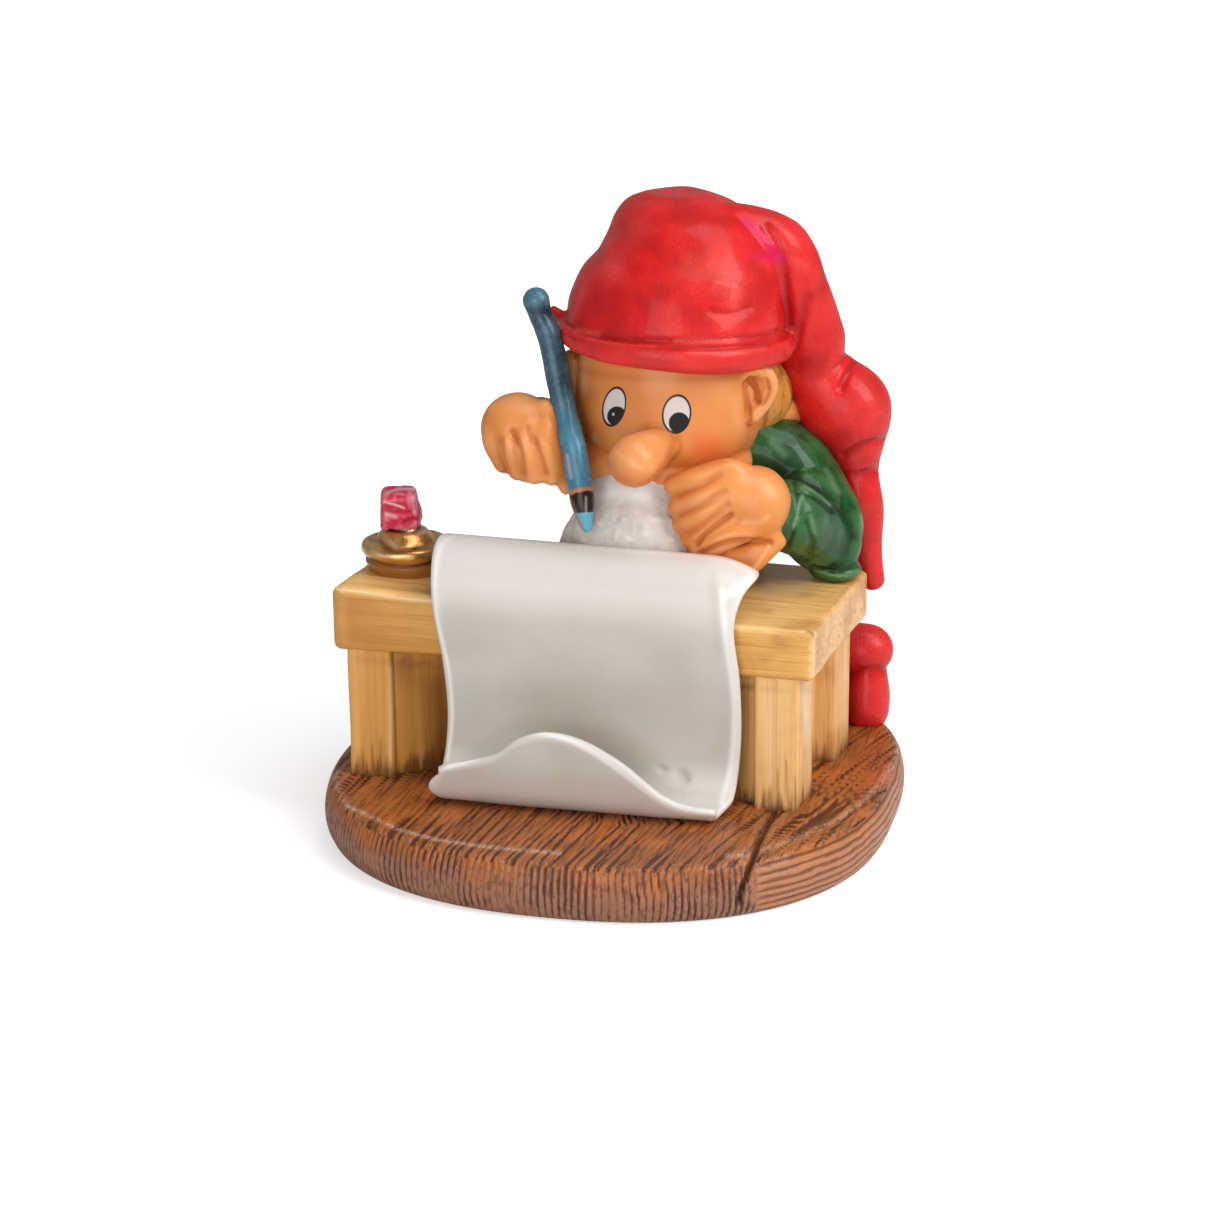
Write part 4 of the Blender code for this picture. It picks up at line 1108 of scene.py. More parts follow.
# How far the scroll's left and right edges wander outwards along that line, in millimetres, and
# how much of its tilt and droop each place takes
SCROLL_LEFT = [0.5, 1.2, 2.0, 2.4, 2.1, 1.3, -0.4, -1.0, -0.5, 0.0, -1.6, -2.4, -2.4, -2.4]
SCROLL_RIGHT = [-5.0, -2.5, 0.6, 1.8, 0.2, -0.8, 0.3, 0.6, 0.2, -0.4, -1.6, -2.2, -2.2, -1.8]
SCROLL_CREST = [0.2, 0.5, 0.9, 1.0, 0.8, 0.3, 0.0, 0.0, 0.0, 0.0, 0.0, 0.0, 0.0, 0.0]

# The curled end's height: shares of the scroll's width from its peak, and of the peak's height
FLAP_PEAK = -0.09
FLAP_SHAPE = ((-0.44, 0.58), (-0.37, 0.74), (-0.28, 0.79), (-0.18, 0.85), (-0.10, 0.95), (0.0, 1.0),
              (0.10, 0.98), (0.20, 0.91), (0.30, 0.80), (0.42, 0.60), (0.49, 0.54), (0.62, 0.52))


def flap_height(x):
    """How high the curled end stands at x, as a share of its highest point."""
    place = (x - SCROLL_CENTRE) / SCROLL_WIDTH - FLAP_PEAK
    heights = curve_through([share for _, share in FLAP_SHAPE], FLAP_STEPS)
    places = np.interp(np.arange(len(heights)) / FLAP_STEPS, range(len(FLAP_SHAPE)),
                       [at for at, _ in FLAP_SHAPE])
    return float(np.interp(place, places, heights))


def corner_droop(share, crest):
    """How far the sheet hangs below its middle line at a share of its width from the left."""
    corner = max(share - 0.86, 0.0) / 0.14
    return crest * (SCROLL_TILT * share + SCROLL_DROOP * corner ** 2)


def scroll_middle(steps, columns):
    """Rows of points on the sheet's middle surface."""
    line = curve_through([Vector((0.0, y, z)) for y, z in scroll_profile()], steps)
    left = curve_through([value * MM for value in SCROLL_LEFT], steps)
    right = curve_through([value * MM for value in SCROLL_RIGHT], steps)
    crest = curve_through(SCROLL_CREST, steps)
    turn = len(line) - 1 - 4 * steps
    middle = []
    for row, centre in enumerate(line):
        low = SCROLL_CENTRE - SCROLL_WIDTH / 2 - left[row]
        high = SCROLL_CENTRE + SCROLL_WIDTH / 2 + right[row]
        points = []
        for column in range(columns + 1):
            share = 0.5 - 0.5 * math.cos(math.pi * column / columns)
            x = low + (high - low) * (0.35 * share + 0.65 * column / columns)
            place = centre.copy()
            if row > turn:
                along = turn + (row - turn) * flap_height(x)
                before = int(along)
                after = min(before + 1, len(line) - 1)
                place = line[before].lerp(line[after], along - before)
            place.x = x
            place.z -= corner_droop((x - low) / (high - low), crest[row])
            points.append(place)
        middle.append(points)
    return middle


def scroll_mesh(name, thickness, steps=16, columns=100):
    """The bent sheet with round edges."""
    middle = scroll_middle(steps, columns)
    half = thickness / 2
    last_row = len(middle) - 1
    bm = bmesh.new()
    sides = {1: {}, -1: {}}
    outward = {}
    for row, points in enumerate(middle):
        for column, point in enumerate(points):
            along = middle[min(row + 1, last_row)][column] - middle[max(row - 1, 0)][column]
            across = points[min(column + 1, columns)] - points[max(column - 1, 0)]
            normal = along.cross(across).normalized()
            edge = Vector()
            if column in (0, columns):
                edge += across.normalized() * (-1 if column == 0 else 1)
            if row in (0, last_row):
                edge += along.normalized() * (-1 if row == 0 else 1)
            for sign in (1, -1):
                sides[sign][row, column] = bm.verts.new(point + normal * half * sign)
            if edge.length > 0:
                edge.normalize()
                outward[row, column] = [bm.verts.new(point
                    + (normal * math.cos(turn) + edge * math.sin(turn)) * half)
                                        for turn in (math.pi / 6, math.pi / 3, math.pi / 2, math.pi * 2 / 3,
                    math.pi * 5 / 6)]
    for sign, verts in sides.items():
        for row in range(last_row):
            for column in range(columns):
                quad = [verts[row, column], verts[row, column + 1], verts[row + 1, column + 1],
                        verts[row + 1, column]]
                bm.faces.new(quad if sign > 0 else list(reversed(quad)))
    border = [(0, column) for column in range(columns)]
    border += [(row, columns) for row in range(last_row)]
    border += [(last_row, column) for column in range(columns, 0, -1)]
    border += [(row, 0) for row in range(last_row, 0, -1)]
    for here, there in zip(border, border[1:] + border[:1]):
        one = [sides[1][here], *outward[here], sides[-1][here]]
        two = [sides[1][there], *outward[there], sides[-1][there]]
        for a, b, c, d in zip(one, one[1:], two[1:], two):
            bm.faces.new((a, b, c, d))
    return make_object(name, bm)


def paper_paint(settings):
    """White paint with painted shade and a soft grey-green wash in the hollows, and lighter edges with
    painted highlights.
    """
    p = Paint("paper_paint", roughness=0.3, coat=0.3, coat_roughness=0.2)
    place = p.place()
    relief = p.group(relief_group(), Grain=300.0, Spread=0.1)
    brush = p.group(brush_group(), Cloud_Size=0.016, Mark_Size=0.0006)
    weave = p.noise(p.stretched(place, (0.25, 1.0, 1.0)), 2400.0, detail=2.0)
    height = p.split(place)["Z"]
    # Painted shade across the middle heights of the sheet, with a little grey-green wash
    low = p.times(p.ramp(height, 0.056, 0.038), p.ramp(height, 0.012, 0.020))
    shade = p.times(low, p.ramp(brush["Clouds"], 0.3, 0.7, 0.42, 0.78))
    p.tone = p.mix(shade, settings.paper, settings.shade)
    p.lay(p.ramp(weave, 0.35, 0.7, 0.0, 0.08), settings.shade)
    # Painted shade in the hollows and from the dark strokes, painted highlights on the ridges and from the
    # light strokes
    p.coats(relief, Hollow=(0.3, settings.shade), Dark=(1.0, settings.shade), Ridge=(0.3, settings.edge),
            Light=(1.0, settings.edge))
    rough = p.ramp(brush["Marks"], 0.3, 0.7, 0.26, 0.4)
    return p.finish(rough, brush["Height"], 0.00005)


def beard_paint(settings):
    """Fluffy white with grey and painted shade in the hollows, and painted highlights on its edges."""
    p = Paint("beard_paint", roughness=0.45, coat=0.1, coat_roughness=0.3)
    place = p.place()
    relief = p.group(relief_group(), Grain=500.0, Spread=0.5)
    clouds = p.noise(place, 300.0, detail=4.0)
    tufts = p.noise(p.stretched(place, (1.0, 1.0, 0.45)), 900.0, detail=4.0, distortion=0.6)
    p.tone = p.mix(p.ramp(clouds, 0.45, 0.7, 0.0, 0.55), settings.beard, settings.beard_shade)
    # Painted shade in the hollows and from the dark strokes, painted highlights on the ridges and from the
    # light strokes
    p.coats(relief, Hollow=(0.5, settings.beard_shade), Ridge=(0.5, settings.edge),
            Dark=(1.0, settings.beard_shade), Light=(1.0, settings.edge))
    return p.finish(p.ramp(tufts, 0.3, 0.7, 0.38, 0.6), tufts, 0.0003, 0.6)


def beard_forms(bm):
    """The beard, spread over the end of the scroll."""
    limb(bm, [on_head(-0.1, -0.5, -0.8), desk(7.2, -2.0, 15.0), desk(6.6, -3.5, 10.0), desk(6.0, -3.0, 3.0),
              desk(5.0, -2.0, -1.0)], [8.4 * MM, 10.4 * MM, 12.8 * MM, 14.6 * MM, 14.6 * MM], flat=0.6,
         sides=48)


class FIGURINE_OT_scroll(bpy.types.Operator):
    """Make the paper scroll and the beard that lies on it"""

    bl_idname = "figurine.scroll"
    bl_label = "Scroll and Beard"

    def execute(self, context):
        settings = context.scene.figurine_scroll
        scroll = scroll_mesh("scroll", settings.thickness)
        points = points_of(scroll.data)
        level = 1 - ((points[:, 2] - BASE_HEIGHT - TIP_LEVEL) / TIP_HALF) ** 2
        left = SCROLL_CENTRE - SCROLL_WIDTH / 2
        near = np.clip(1 - (points[:, 0] - left) / TIP_REACH, 0.0, 1.0) ** 2
        near[points[:, 1] > FRONT - TIP_FRONT] = 0.0
        points[:, 0] -= TIP_LENGTH * near * np.clip(level, 0.0, 1.0)
        put_points(scroll.data, points)
        roughen(scroll.data, 12.0, 0.14, 21)
        # Light strokes: painted highlights along the sheet's edges and on the curl; dark strokes: painted
        # shade in the valley and across the hanging sheet
        touch(scroll.data, pressed="682,775 685,778 5 0.5; 660,768 664,770 3 0.25",
              light="434,584 437,620 449,670 452,720 447,760 1.5 0.9; "
              "434,582 441,547 456,534 2.2 0.6; 456,534 553,545 690,556 735,562 2 0.5; "
              "735,562 751,572 744,584 727,596 4.5 0.8; "
              "722,590 726,640 734,700 732,760 722,803 3.2 0.85",
              dark="713,575 714,605 718,650 5 0.4; 460,612 540,618 640,622 700,626 20 0.3; "
              "470,700 560,702 690,720 26 0.25; 478,744 534,722 600,742 640,772 8 0.35; "
              "480,797 560,806 640,812 6 0.35; 682,775 685,778 3.5 0.4")
        # Painted highlight along the flap's ridge and round its left tip
        ridge = strokes(scroll.data,
                        "449,767 479,757 504,739 534,733 565,739 596,755 626,776 "
                        "663,804 687,813 712,812 2.4 0.9; "
                        "449,767 432,775 429,786 434,798 445,803 2.2 0.7")
        ridge[points_of(scroll.data)[:, 1] > FRONT - EDGE_FRONT] = 0.0
        lit = np.empty(len(ridge))
        scroll.data.attributes["light"].data.foreach_get("value", lit)
        scroll.data.attributes["light"].data.foreach_set("value", np.maximum(lit, np.clip(ridge, 0.0, 1.0)))
        keep(scroll, paper_paint(settings), (16, 0.2))
        beard = fused("beard", beard_forms, BEARD_VOXEL, 3)
        roughen(beard.data, 3.4, 0.32, 23)
        roughen(beard.data, 1.1, 0.14, 24)
        # Light strokes: painted highlights on the beard's lit edge and top; dark strokes: painted shade
        # under the hands and along its foot
        touch(beard.data, light="553,541 568,522 585,506 1.6 0.9; 596,494 620,492 645,496 8 0.6",
              dark="560,541 600,546 680,553 4 0.45; 664,520 676,545 5 0.4; 625,520 640,535 8 0.25")
        keep(beard, beard_paint(settings), (14, 0.2))
        return {"FINISHED"}


# The ink bottle

def turned(name, foot, outline, steps):
    """A form turned on a lathe, smooth along its outline."""
    outline = list(zip(*(curve_through(values, steps) for values in zip(*outline))))
    bm = bmesh.new()
    angles = circle(LATHE_SIDES)
    skin(bm, [[foot + Vector((radius * math.cos(a), radius * math.sin(a), up)) for a in angles]
              for radius, up in outline])
    return make_object(name, bm)


def gold_paint(settings, foot_height):
    """Gold paint over a brown glaze, with wood-brown paint at the bottle's foot, painted glints and painted
    dark reflections and shade.
    """
    p = Paint("gold_paint", roughness=0.2, coat=0.3, coat_roughness=0.06)
    place = p.place()
    relief = p.group(relief_group(), Grain=500.0, Spread=0.5)
    brush = p.group(brush_group(), Cloud_Size=0.004, Mark_Size=0.0005)
    height = p.split(place)["Z"]
    wander = p.times(p.less(brush["Clouds"], 0.5), 0.002)
    level = p.plus(height, wander)
    gilt = p.ramp(level, foot_height + BOTTLE_HEIGHT * 0.26, foot_height + BOTTLE_HEIGHT * 0.46)
    p.tone = p.mix(p.ramp(brush["Clouds"], 0.45, 0.75, 0.0, 0.55), settings.gold, settings.patina_and_painted_shade)
    p.lay(relief["Hollow"], settings.patina_and_painted_shade)
    body = p.mix(p.noise(p.stretched(place, (0.12, 0.12, 1.0)), 900.0), BOTTLE_FOOT_DARK, BOTTLE_FOOT)
    p.tone = p.mix(gilt, body, p.tone)
    # Painted dark reflections and shade from the dark strokes, painted glints from the light strokes
    p.coats(relief, Dark=(1.0, settings.patina_and_painted_shade), Light=(1.0, GILT_GLINT))
    p.feed(p.shader.inputs["Metallic"], p.times(gilt, 0.75))
    return p.finish(p.ramp(brush["Marks"], 0.3, 0.7, 0.1, 0.24), brush["Height"], 0.0002)


def stopper_paint(settings):
    """Pink paint with pale strokes along its edges."""
    p = Paint("stopper_paint", roughness=0.3, coat=0.3, coat_roughness=0.08)
    place = p.place()
    relief = p.group(relief_group(), Grain=900.0, Spread=0.9)
    marks = p.noise(p.stretched(place, (0.3, 1.0, 1.0), (0.4, 0.9, 0.3)), 900.0, detail=4.0)
    p.tone = p.mix(p.ramp(marks, 0.54, 0.68, 0.0, 0.4), settings.stopper, STOPPER_MARKS)
    p.coats(relief, Ridge=(0.45, STOPPER_RIDGE), Hollow=(0.8, STOPPER_HOLLOW), Light=(1.0, STOPPER_PALE_EDGE))
    return p.finish(None, marks, 0.0004, 0.8)


class FIGURINE_OT_bottle(bpy.types.Operator):
    """Make the ink bottle and its rough square stopper"""

    bl_idname = "figurine.bottle"
    bl_label = "Ink Bottle"

    def execute(self, context):
        settings = context.scene.figurine_bottle
        height = BOTTLE_HEIGHT
        foot = desk(0.0, 0.0, 0.0) + Vector((BOTTLE_X, BOTTLE_Y, PLANK_RISE * 0.4))
        profile = [(0.86, -0.25), (0.86, 0.04), (0.9, 0.16), (0.92, 0.24), (0.87, 0.3), (0.93, 0.38),
                   (0.99, 0.46), (1.0, 0.55), (0.97, 0.63), (0.9, 0.665), (0.8, 0.65), (0.7, 0.68),
                   (0.62, 0.78), (0.52, 0.9)]
        outline = [(BOTTLE_RADIUS * radius, height * up) for radius, up in profile]
        outline += [(BOTTLE_NECK * 1.02, height * 0.99), (BOTTLE_NECK, height + STOPPER_SIZE * 0.3)]
        bottle = turned("ink_bottle", foot, outline, LATHE_STEPS)
        roughen(bottle.data, 5.0, 0.22, 31)
        roughen(bottle.data, 1.6, 0.08, 32)
        # Light strokes: painted glints on the flange and dome; dark strokes: painted shade and dark
        # reflections under the rim and flange
        touch(bottle.data, light="371,551 384,556 400,558 1.4 0.8; 410,528 428,532 5 0.4; "
              "432,554 443,547 1.6 0.6; 372,583 384,588 1.2 0.7; 390,541 396,548 2.2 0.6",
              dark="380,541 392,551 410,552 420,542 2.4 0.7; 368,559 400,567 436,562 1.6 0.8; "
              "402,535 404,545 3 0.5")
        keep(bottle, gold_paint(settings, foot.z), (10, 0.15))

        bm = bmesh.new()
        half = STOPPER_SIZE / 2
        slab(bm, (-half, -half, -half), (half, half, half), STOPPER_SIZE * 0.17, (28, 28, 28))
        stopper = make_object("stopper", bm)
        points = points_of(stopper.data)
        points[:, 0] *= 1.0 - 0.10 * points[:, 2] / half
        points[:, 1] *= 1.0 + 0.06 * points[:, 0] / half
        place = Matrix.Translation(foot + Vector((-STOPPER_SIZE * 0.16, 0.0, height + half * 0.96)))
        tilt = Matrix.Rotation(STOPPER_TURN, 4, "Z") @ Matrix.Rotation(math.radians(-5.0), 4, "Y")
        tilt = tilt @ Matrix.Rotation(math.radians(4.0), 4, "X")
        put_points(stopper.data, points)
        stopper.data.transform(place @ tilt)
        roughen(stopper.data, 2.2, 0.32, 34)
        roughen(stopper.data, 0.9, 0.1, 35)
        # Pale strokes drawn along the stopper's edges
        touch(stopper.data, light="384,502 396,505 404,508 0.9 0.9; 386,493 400,489 414,489 1.4 0.7; "
              "386,514 396,517 2 0.5; 413,497 415,515 1.4 0.5")
        keep(stopper, stopper_paint(settings), (14, 0.16))
        return {"FINISHED"}


# The head

def head_forms(bm):
    """The head with its cheeks, nose, one clear ear and the neck."""
    half = Vector((HEAD_WIDTH, HEAD_DEPTH, HEAD_HEIGHT)) / 2
    egg(bm, HEAD, half, CHEEK_FULLNESS)
    limb(bm, points_at(on_head, "0.1 -0.9 -0.39; 0 -1.16 -0.43; -0.1 -1.36 -0.475"),
         [NOSE_RADIUS * 0.64, NOSE_RADIUS * 0.84, NOSE_RADIUS])
    limb(bm, points_at(on_head, "0.79 -0.44 0.17; 0.94 -0.41 0.27; 1.08 -0.38 0.24; 1.13 -0.35 0.1; "
                       "1.06 -0.35 -0.06; 0.94 -0.38 -0.2"), [EAR_RIM] * 6, sides=16, side=(0.0, 1.0, 0.0))
    blob(bm, on_head(0.93, -0.31, 0.05), (EAR_RIM * 2.3, EAR_RIM * 1.5, EAR_HEIGHT / 2))
    blob(bm, on_head(-0.08, -0.12, -0.72), (half.x * 0.98, half.y * 0.72, half.z * 0.46))
    limb(bm, [HEAD + Vector(place) * MM
              for place in ((9.0, 3.0, -8.0), (15.5, 6.0, -5.5), (21.0, 13.0, -6.8))],
         [EAR_RIM * 3.0, EAR_RIM * 2.6, EAR_RIM * 2.4])


def hair_forms(bm):
    """The hair that shows under the hat, beside and behind the face."""
    half = Vector((HEAD_WIDTH, HEAD_DEPTH, HEAD_HEIGHT)) / 2
    blob(bm, on_head(0.12, 0.45, -0.15), (half.x * 1.1, half.y * 0.7, half.z * 0.66))
    limb(bm, points_at(on_head, "-1.02 -0.18 0.2; -1 -0.24 -0.2; -0.93 -0.28 -0.6"),
         [EAR_RIM * 1.7, EAR_RIM * 1.7, EAR_RIM * 1.3])


# Painted ovals of the face: middle and half sizes in millimetres across and up, as the camera
# sees them from the middle of the head, and their tilt
OVALS = {"eye_left": ((-10.6, -4.95), (2.1, 3.56), -12.0), "eye_right": ((0.67, -6.5), (2.62, 3.48), -8.0),
         "pupil_left": ((-10.15, -6.65), (1.72, 1.72), -8.0),
         "pupil_right": ((1.12, -8.05), (1.87, 1.87), 0.0),
         "glint_left": ((-10.75, -6.3), (0.24, 0.3), 0.0)}


def skin_paint(name, settings, face):
    """Peach paint with an orange wash and painted shade in the hollows, painted highlights on what stands
    out; the head also gets cheeks and eyes.
    """
    p = Paint(name, roughness=0.36, coat=0.2, coat_roughness=0.14)
    place = p.place()
    relief = p.group(relief_group(), Grain=350.0, Spread=0.2)
    brush = p.group(brush_group(), Cloud_Size=0.009, Mark_Size=0.0005)
    p.tone = p.mix(p.ramp(brush["Clouds"], 0.35, 0.7, 0.0, 0.16), settings.skin, settings.skin_shade)
    p.lay(p.ramp(brush["Marks"], 0.5, 0.75, 0.0, 0.14), settings.skin_light)
    # Orange wash and painted shade in the hollows, paler paint on what stands out
    p.coats(relief, Hollow=(0.55, settings.skin_shade), Ridge=(0.3, settings.skin_light))
    if face:
        blush = p.stored("blush")
        p.lay(blush, settings.blush)
    # Painted shade from the dark strokes, painted highlights from the light strokes
    p.coats(relief, Dark=(0.92, settings.skin_shade), Light=(0.9, settings.skin_light))
    if face:
        right, up, _ = camera_axes()
        front = p.ramp(p.split(place)["Y"], HEAD.y - 0.2 * HEAD_DEPTH, HEAD.y - 0.24 * HEAD_DEPTH)

        def oval(key, low, high):
            (across, rise), (wide, tall), tilt = OVALS[key]
            turn = math.radians(tilt)
            one = right * math.cos(turn) + up * math.sin(turn)
            two = up * math.cos(turn) - right * math.sin(turn)
            middle = HEAD + right * across * MM + up * rise * MM
            gap = p.group(oval_group(), Centre=middle, Across=one / (wide * MM), Up=two / (tall * MM))
            return p.times(p.ramp(gap["Distance"], high, low), front)

        for side in ("left", "right"):
            white = oval("eye_" + side, 0.86, 0.91)
            p.lay(oval("eye_" + side, 1.0, 1.03), EYE_RIM)
            p.lay(white, EYE_WHITE)
            pupil = p.times(oval("pupil_" + side, 0.96, 1.03), oval("eye_" + side, 1.0, 1.03))
            p.lay(pupil, PUPIL)
        p.lay(oval("glint_left", 0.8, 1.05), GLINT)
    rough = p.ramp(brush["Marks"], 0.3, 0.7, 0.28, 0.4)
    return p.finish(rough, brush["Height"], 0.00008)


def hair_paint(settings):
    """Ochre hair, brushed downwards."""
    p = Paint("hair_paint", roughness=0.4, coat=0.2)
    place = p.place()
    strands = p.noise(p.stretched(place, (1.0, 1.0, 0.15)), 800.0, detail=4.0, distortion=0.3)
    relief = p.group(relief_group())
    p.tone = p.mix(p.ramp(strands, 0.4, 0.65), settings.hair, HAIR_STRANDS)
    p.lay(relief["Hollow"], HAIR_HOLLOW)
    return p.finish(None, strands, 0.0004, 0.8)


class FIGURINE_OT_head(bpy.types.Operator):
    """Make the head with its painted face, and the hair"""

    bl_idname = "figurine.head"
    bl_label = "Head"

    def execute(self, context):
        settings = context.scene.figurine_figure
        head = fused("head", head_forms, settings.voxel * 1.1, 4)
        roughen(head.data, 7.0, 0.1, 41)
        # Light strokes: painted highlights on the nose, cheek and ear; dark strokes: painted shade under
        # the brim, under the nose, round the ear and beside the face
        touch(head.data, pressed="751,381 756,390 757,401 3.4 1.3; 766,380 769,392 763,404 2 0.6; "
              "745,384 748,408 750,422 2.4 0.5; 673,437 667,461 655,478 4 0.12",
              light="617,452 623,459 3 0.55; 634,465 641,468 3.4 0.6; 640,432 652,440 8 0.35; "
              "660,384 720,390 16 0.25; 757,371 772,372 780,384 777,397 768,409 1.6 0.5; "
              "758,417 764,414 4 0.4; 735,400 738,425 5 0.25",
              dark="575,368 600,374 661,379 720,378 744,372 5 0.55; "
              "590,388 640,396 700,392 14 0.25; 587,395 590,425 600,452 7 0.5; "
              "610,464 620,478 636,486 652,480 5 0.6; 675,438 668,461 657,476 4 0.6; "
              "678,460 700,470 725,462 9 0.45; 735,458 748,440 753,425 5 0.35; "
              "745,380 748,400 750,420 2.4 0.6; 752,381 756,390 757,401 3.4 0.9; "
              "767,382 768,393 762,404 1.8 0.6; 600,430 606,446 6 0.3; 640,405 645,415 9 0.15")
        store(head.data, "blush",
              np.clip(strokes(head.data,
                              "704,445 710,447 15 0.75; 625,476 648,478 9 0.3; 596,448 600,452 9 0.4"), 0.0,
                      1.0))
        keep(head, skin_paint("face_paint", settings, True), (40, 0.35))
        hair = fused("hair", hair_forms, settings.voxel * 1.7, 2)
        roughen(hair.data, 2.2, 0.25, 43, (1.0, 1.0, 4.0))
        keep(hair, hair_paint(settings), (24, 0.22))
        return {"FINISHED"}


# The cap

def hat_forms(bm):
    """The cap: a rolled brim, a soft crown and the long tail that falls down the back."""
    wide = HEAD_WIDTH / 2 + BRIM_PROUD
    deep = HEAD_DEPTH / 2 + BRIM_PROUD
    centre = on_head(0.05, -0.02, BRIM_LEVEL)
    steps = 120
    angles = circle(steps)
    rings = []
    for up, out in ((-0.5, 0.92), (-0.42, 0.975), (-0.2, 1.0), (0.15, 1.0), (0.4, 0.98), (0.5, 0.92)):
        rings.append([centre
                      + Vector((wide * out * math.cos(a), deep * out * math.sin(a),
                                BRIM_HEIGHT * up - BRIM_TILT * wide * math.cos(a))) for a in angles])
    skin(bm, rings)
    limb(bm, [centre + Vector((-wide * 0.9, -deep * 0.1, BRIM_TILT * wide)), centre
              + Vector((-wide * 1.05, -deep * 0.05, BRIM_TILT * wide + BRIM_HEIGHT * 0.55))],
         [BRIM_HEIGHT * 0.42, BRIM_HEIGHT * 0.17])
    profile = ((0.0, 0.93, 0.0, 0.0), (0.16, 0.92, 0.0, 0.01), (0.3, 0.89, 0.0, 0.03),
               (0.47, 0.82, 0.035, 0.05), (0.58, 0.74, 0.07, 0.07), (0.7, 0.665, 0.065, 0.1),
               (0.83, 0.57, 0.03, 0.12), (0.92, 0.43, -0.02, 0.16), (0.975, 0.24, -0.06, 0.2))
    smooth = [curve_through([row[k] for row in profile], 4) for k in range(4)]
    rings = []
    for up, out, shift, back in zip(*smooth):
        spot = centre + Vector((shift * wide, back * deep, CROWN_HEIGHT * up))
        rings.append([spot + Vector((wide * out * math.cos(a), deep * out * math.sin(a), 0.0))
                      for a in angles])
    skin(bm, rings)
    fall, tip = TAIL_RADIUS, TAIL_TIP_RADIUS
    limb(bm, points_at(desk, "9 9 64; 19 10.5 64; 29 13 60.8; 32.2 15.8 53; 34.6 19 43.5; 35.2 20.2 38; "
                       "37.6 21.2 34.2; 41.2 22 29.4; 42.6 23 22.6; 43.2 24 17; 44 24 10.5; "
                       "45.6 24 2.7; 47 24 -4"),
         [1.16 * fall, 1.1 * fall, 1.13 * fall, 1.08 * fall, 1.12 * fall, 1.04 * fall, 1.22 * fall,
          1.42 * fall, 1.04 * fall, 0.73 * fall, 0.78 * fall, 1.2 * tip, 0.9 * tip], flat=0.88)


def red_paint(name, settings, fold):
    """Red paint, dry-brushed with pink on its swells, with magenta in the fold, painted shade in the
    hollows and creases and painted highlights.
    """
    p = Paint(name, roughness=0.34, coat=0.25, coat_roughness=0.15, specular=0.18)
    relief = p.group(relief_group(), Grain=260.0, Spread=0.3)
    brush = p.group(brush_group(), Cloud_Size=0.007, Mark_Size=0.00035)
    deep = [c * 0.55 for c in settings.hat]
    p.tone = p.mix(p.ramp(brush["Clouds"], 0.58, 0.36, 0.0, 0.5), settings.hat, deep)
    dry = p.times(p.ramp(brush["Clouds"], 0.48, 0.7), p.ramp(brush["Marks"], 0.45, 0.62))
    p.lay(p.times(dry, 0.3), settings.hat_dry_and_highlight)
    # Paler pink on the swells, painted shade in the hollows
    p.coats(relief, Ridge=(0.22, settings.hat_dry_and_highlight), Hollow=(0.5, deep))
    if fold:
        wash = p.stored("wash")
        p.lay(wash, settings.hat_fold)
    # Painted shade from the dark strokes
    p.lay(relief["Dark"], [c * 0.5 for c in settings.hat])
    # Painted highlights from the light strokes, broken up
    broken = p.ramp(brush["Marks"], 0.34, 0.6, 0.45, 1.0)
    p.lay(p.times(relief["Light"], broken), settings.hat_dry_and_highlight)
    rough = p.ramp(brush["Marks"], 0.35, 0.65, 0.26, 0.44)
    return p.finish(rough, brush["Height"], 0.00035)


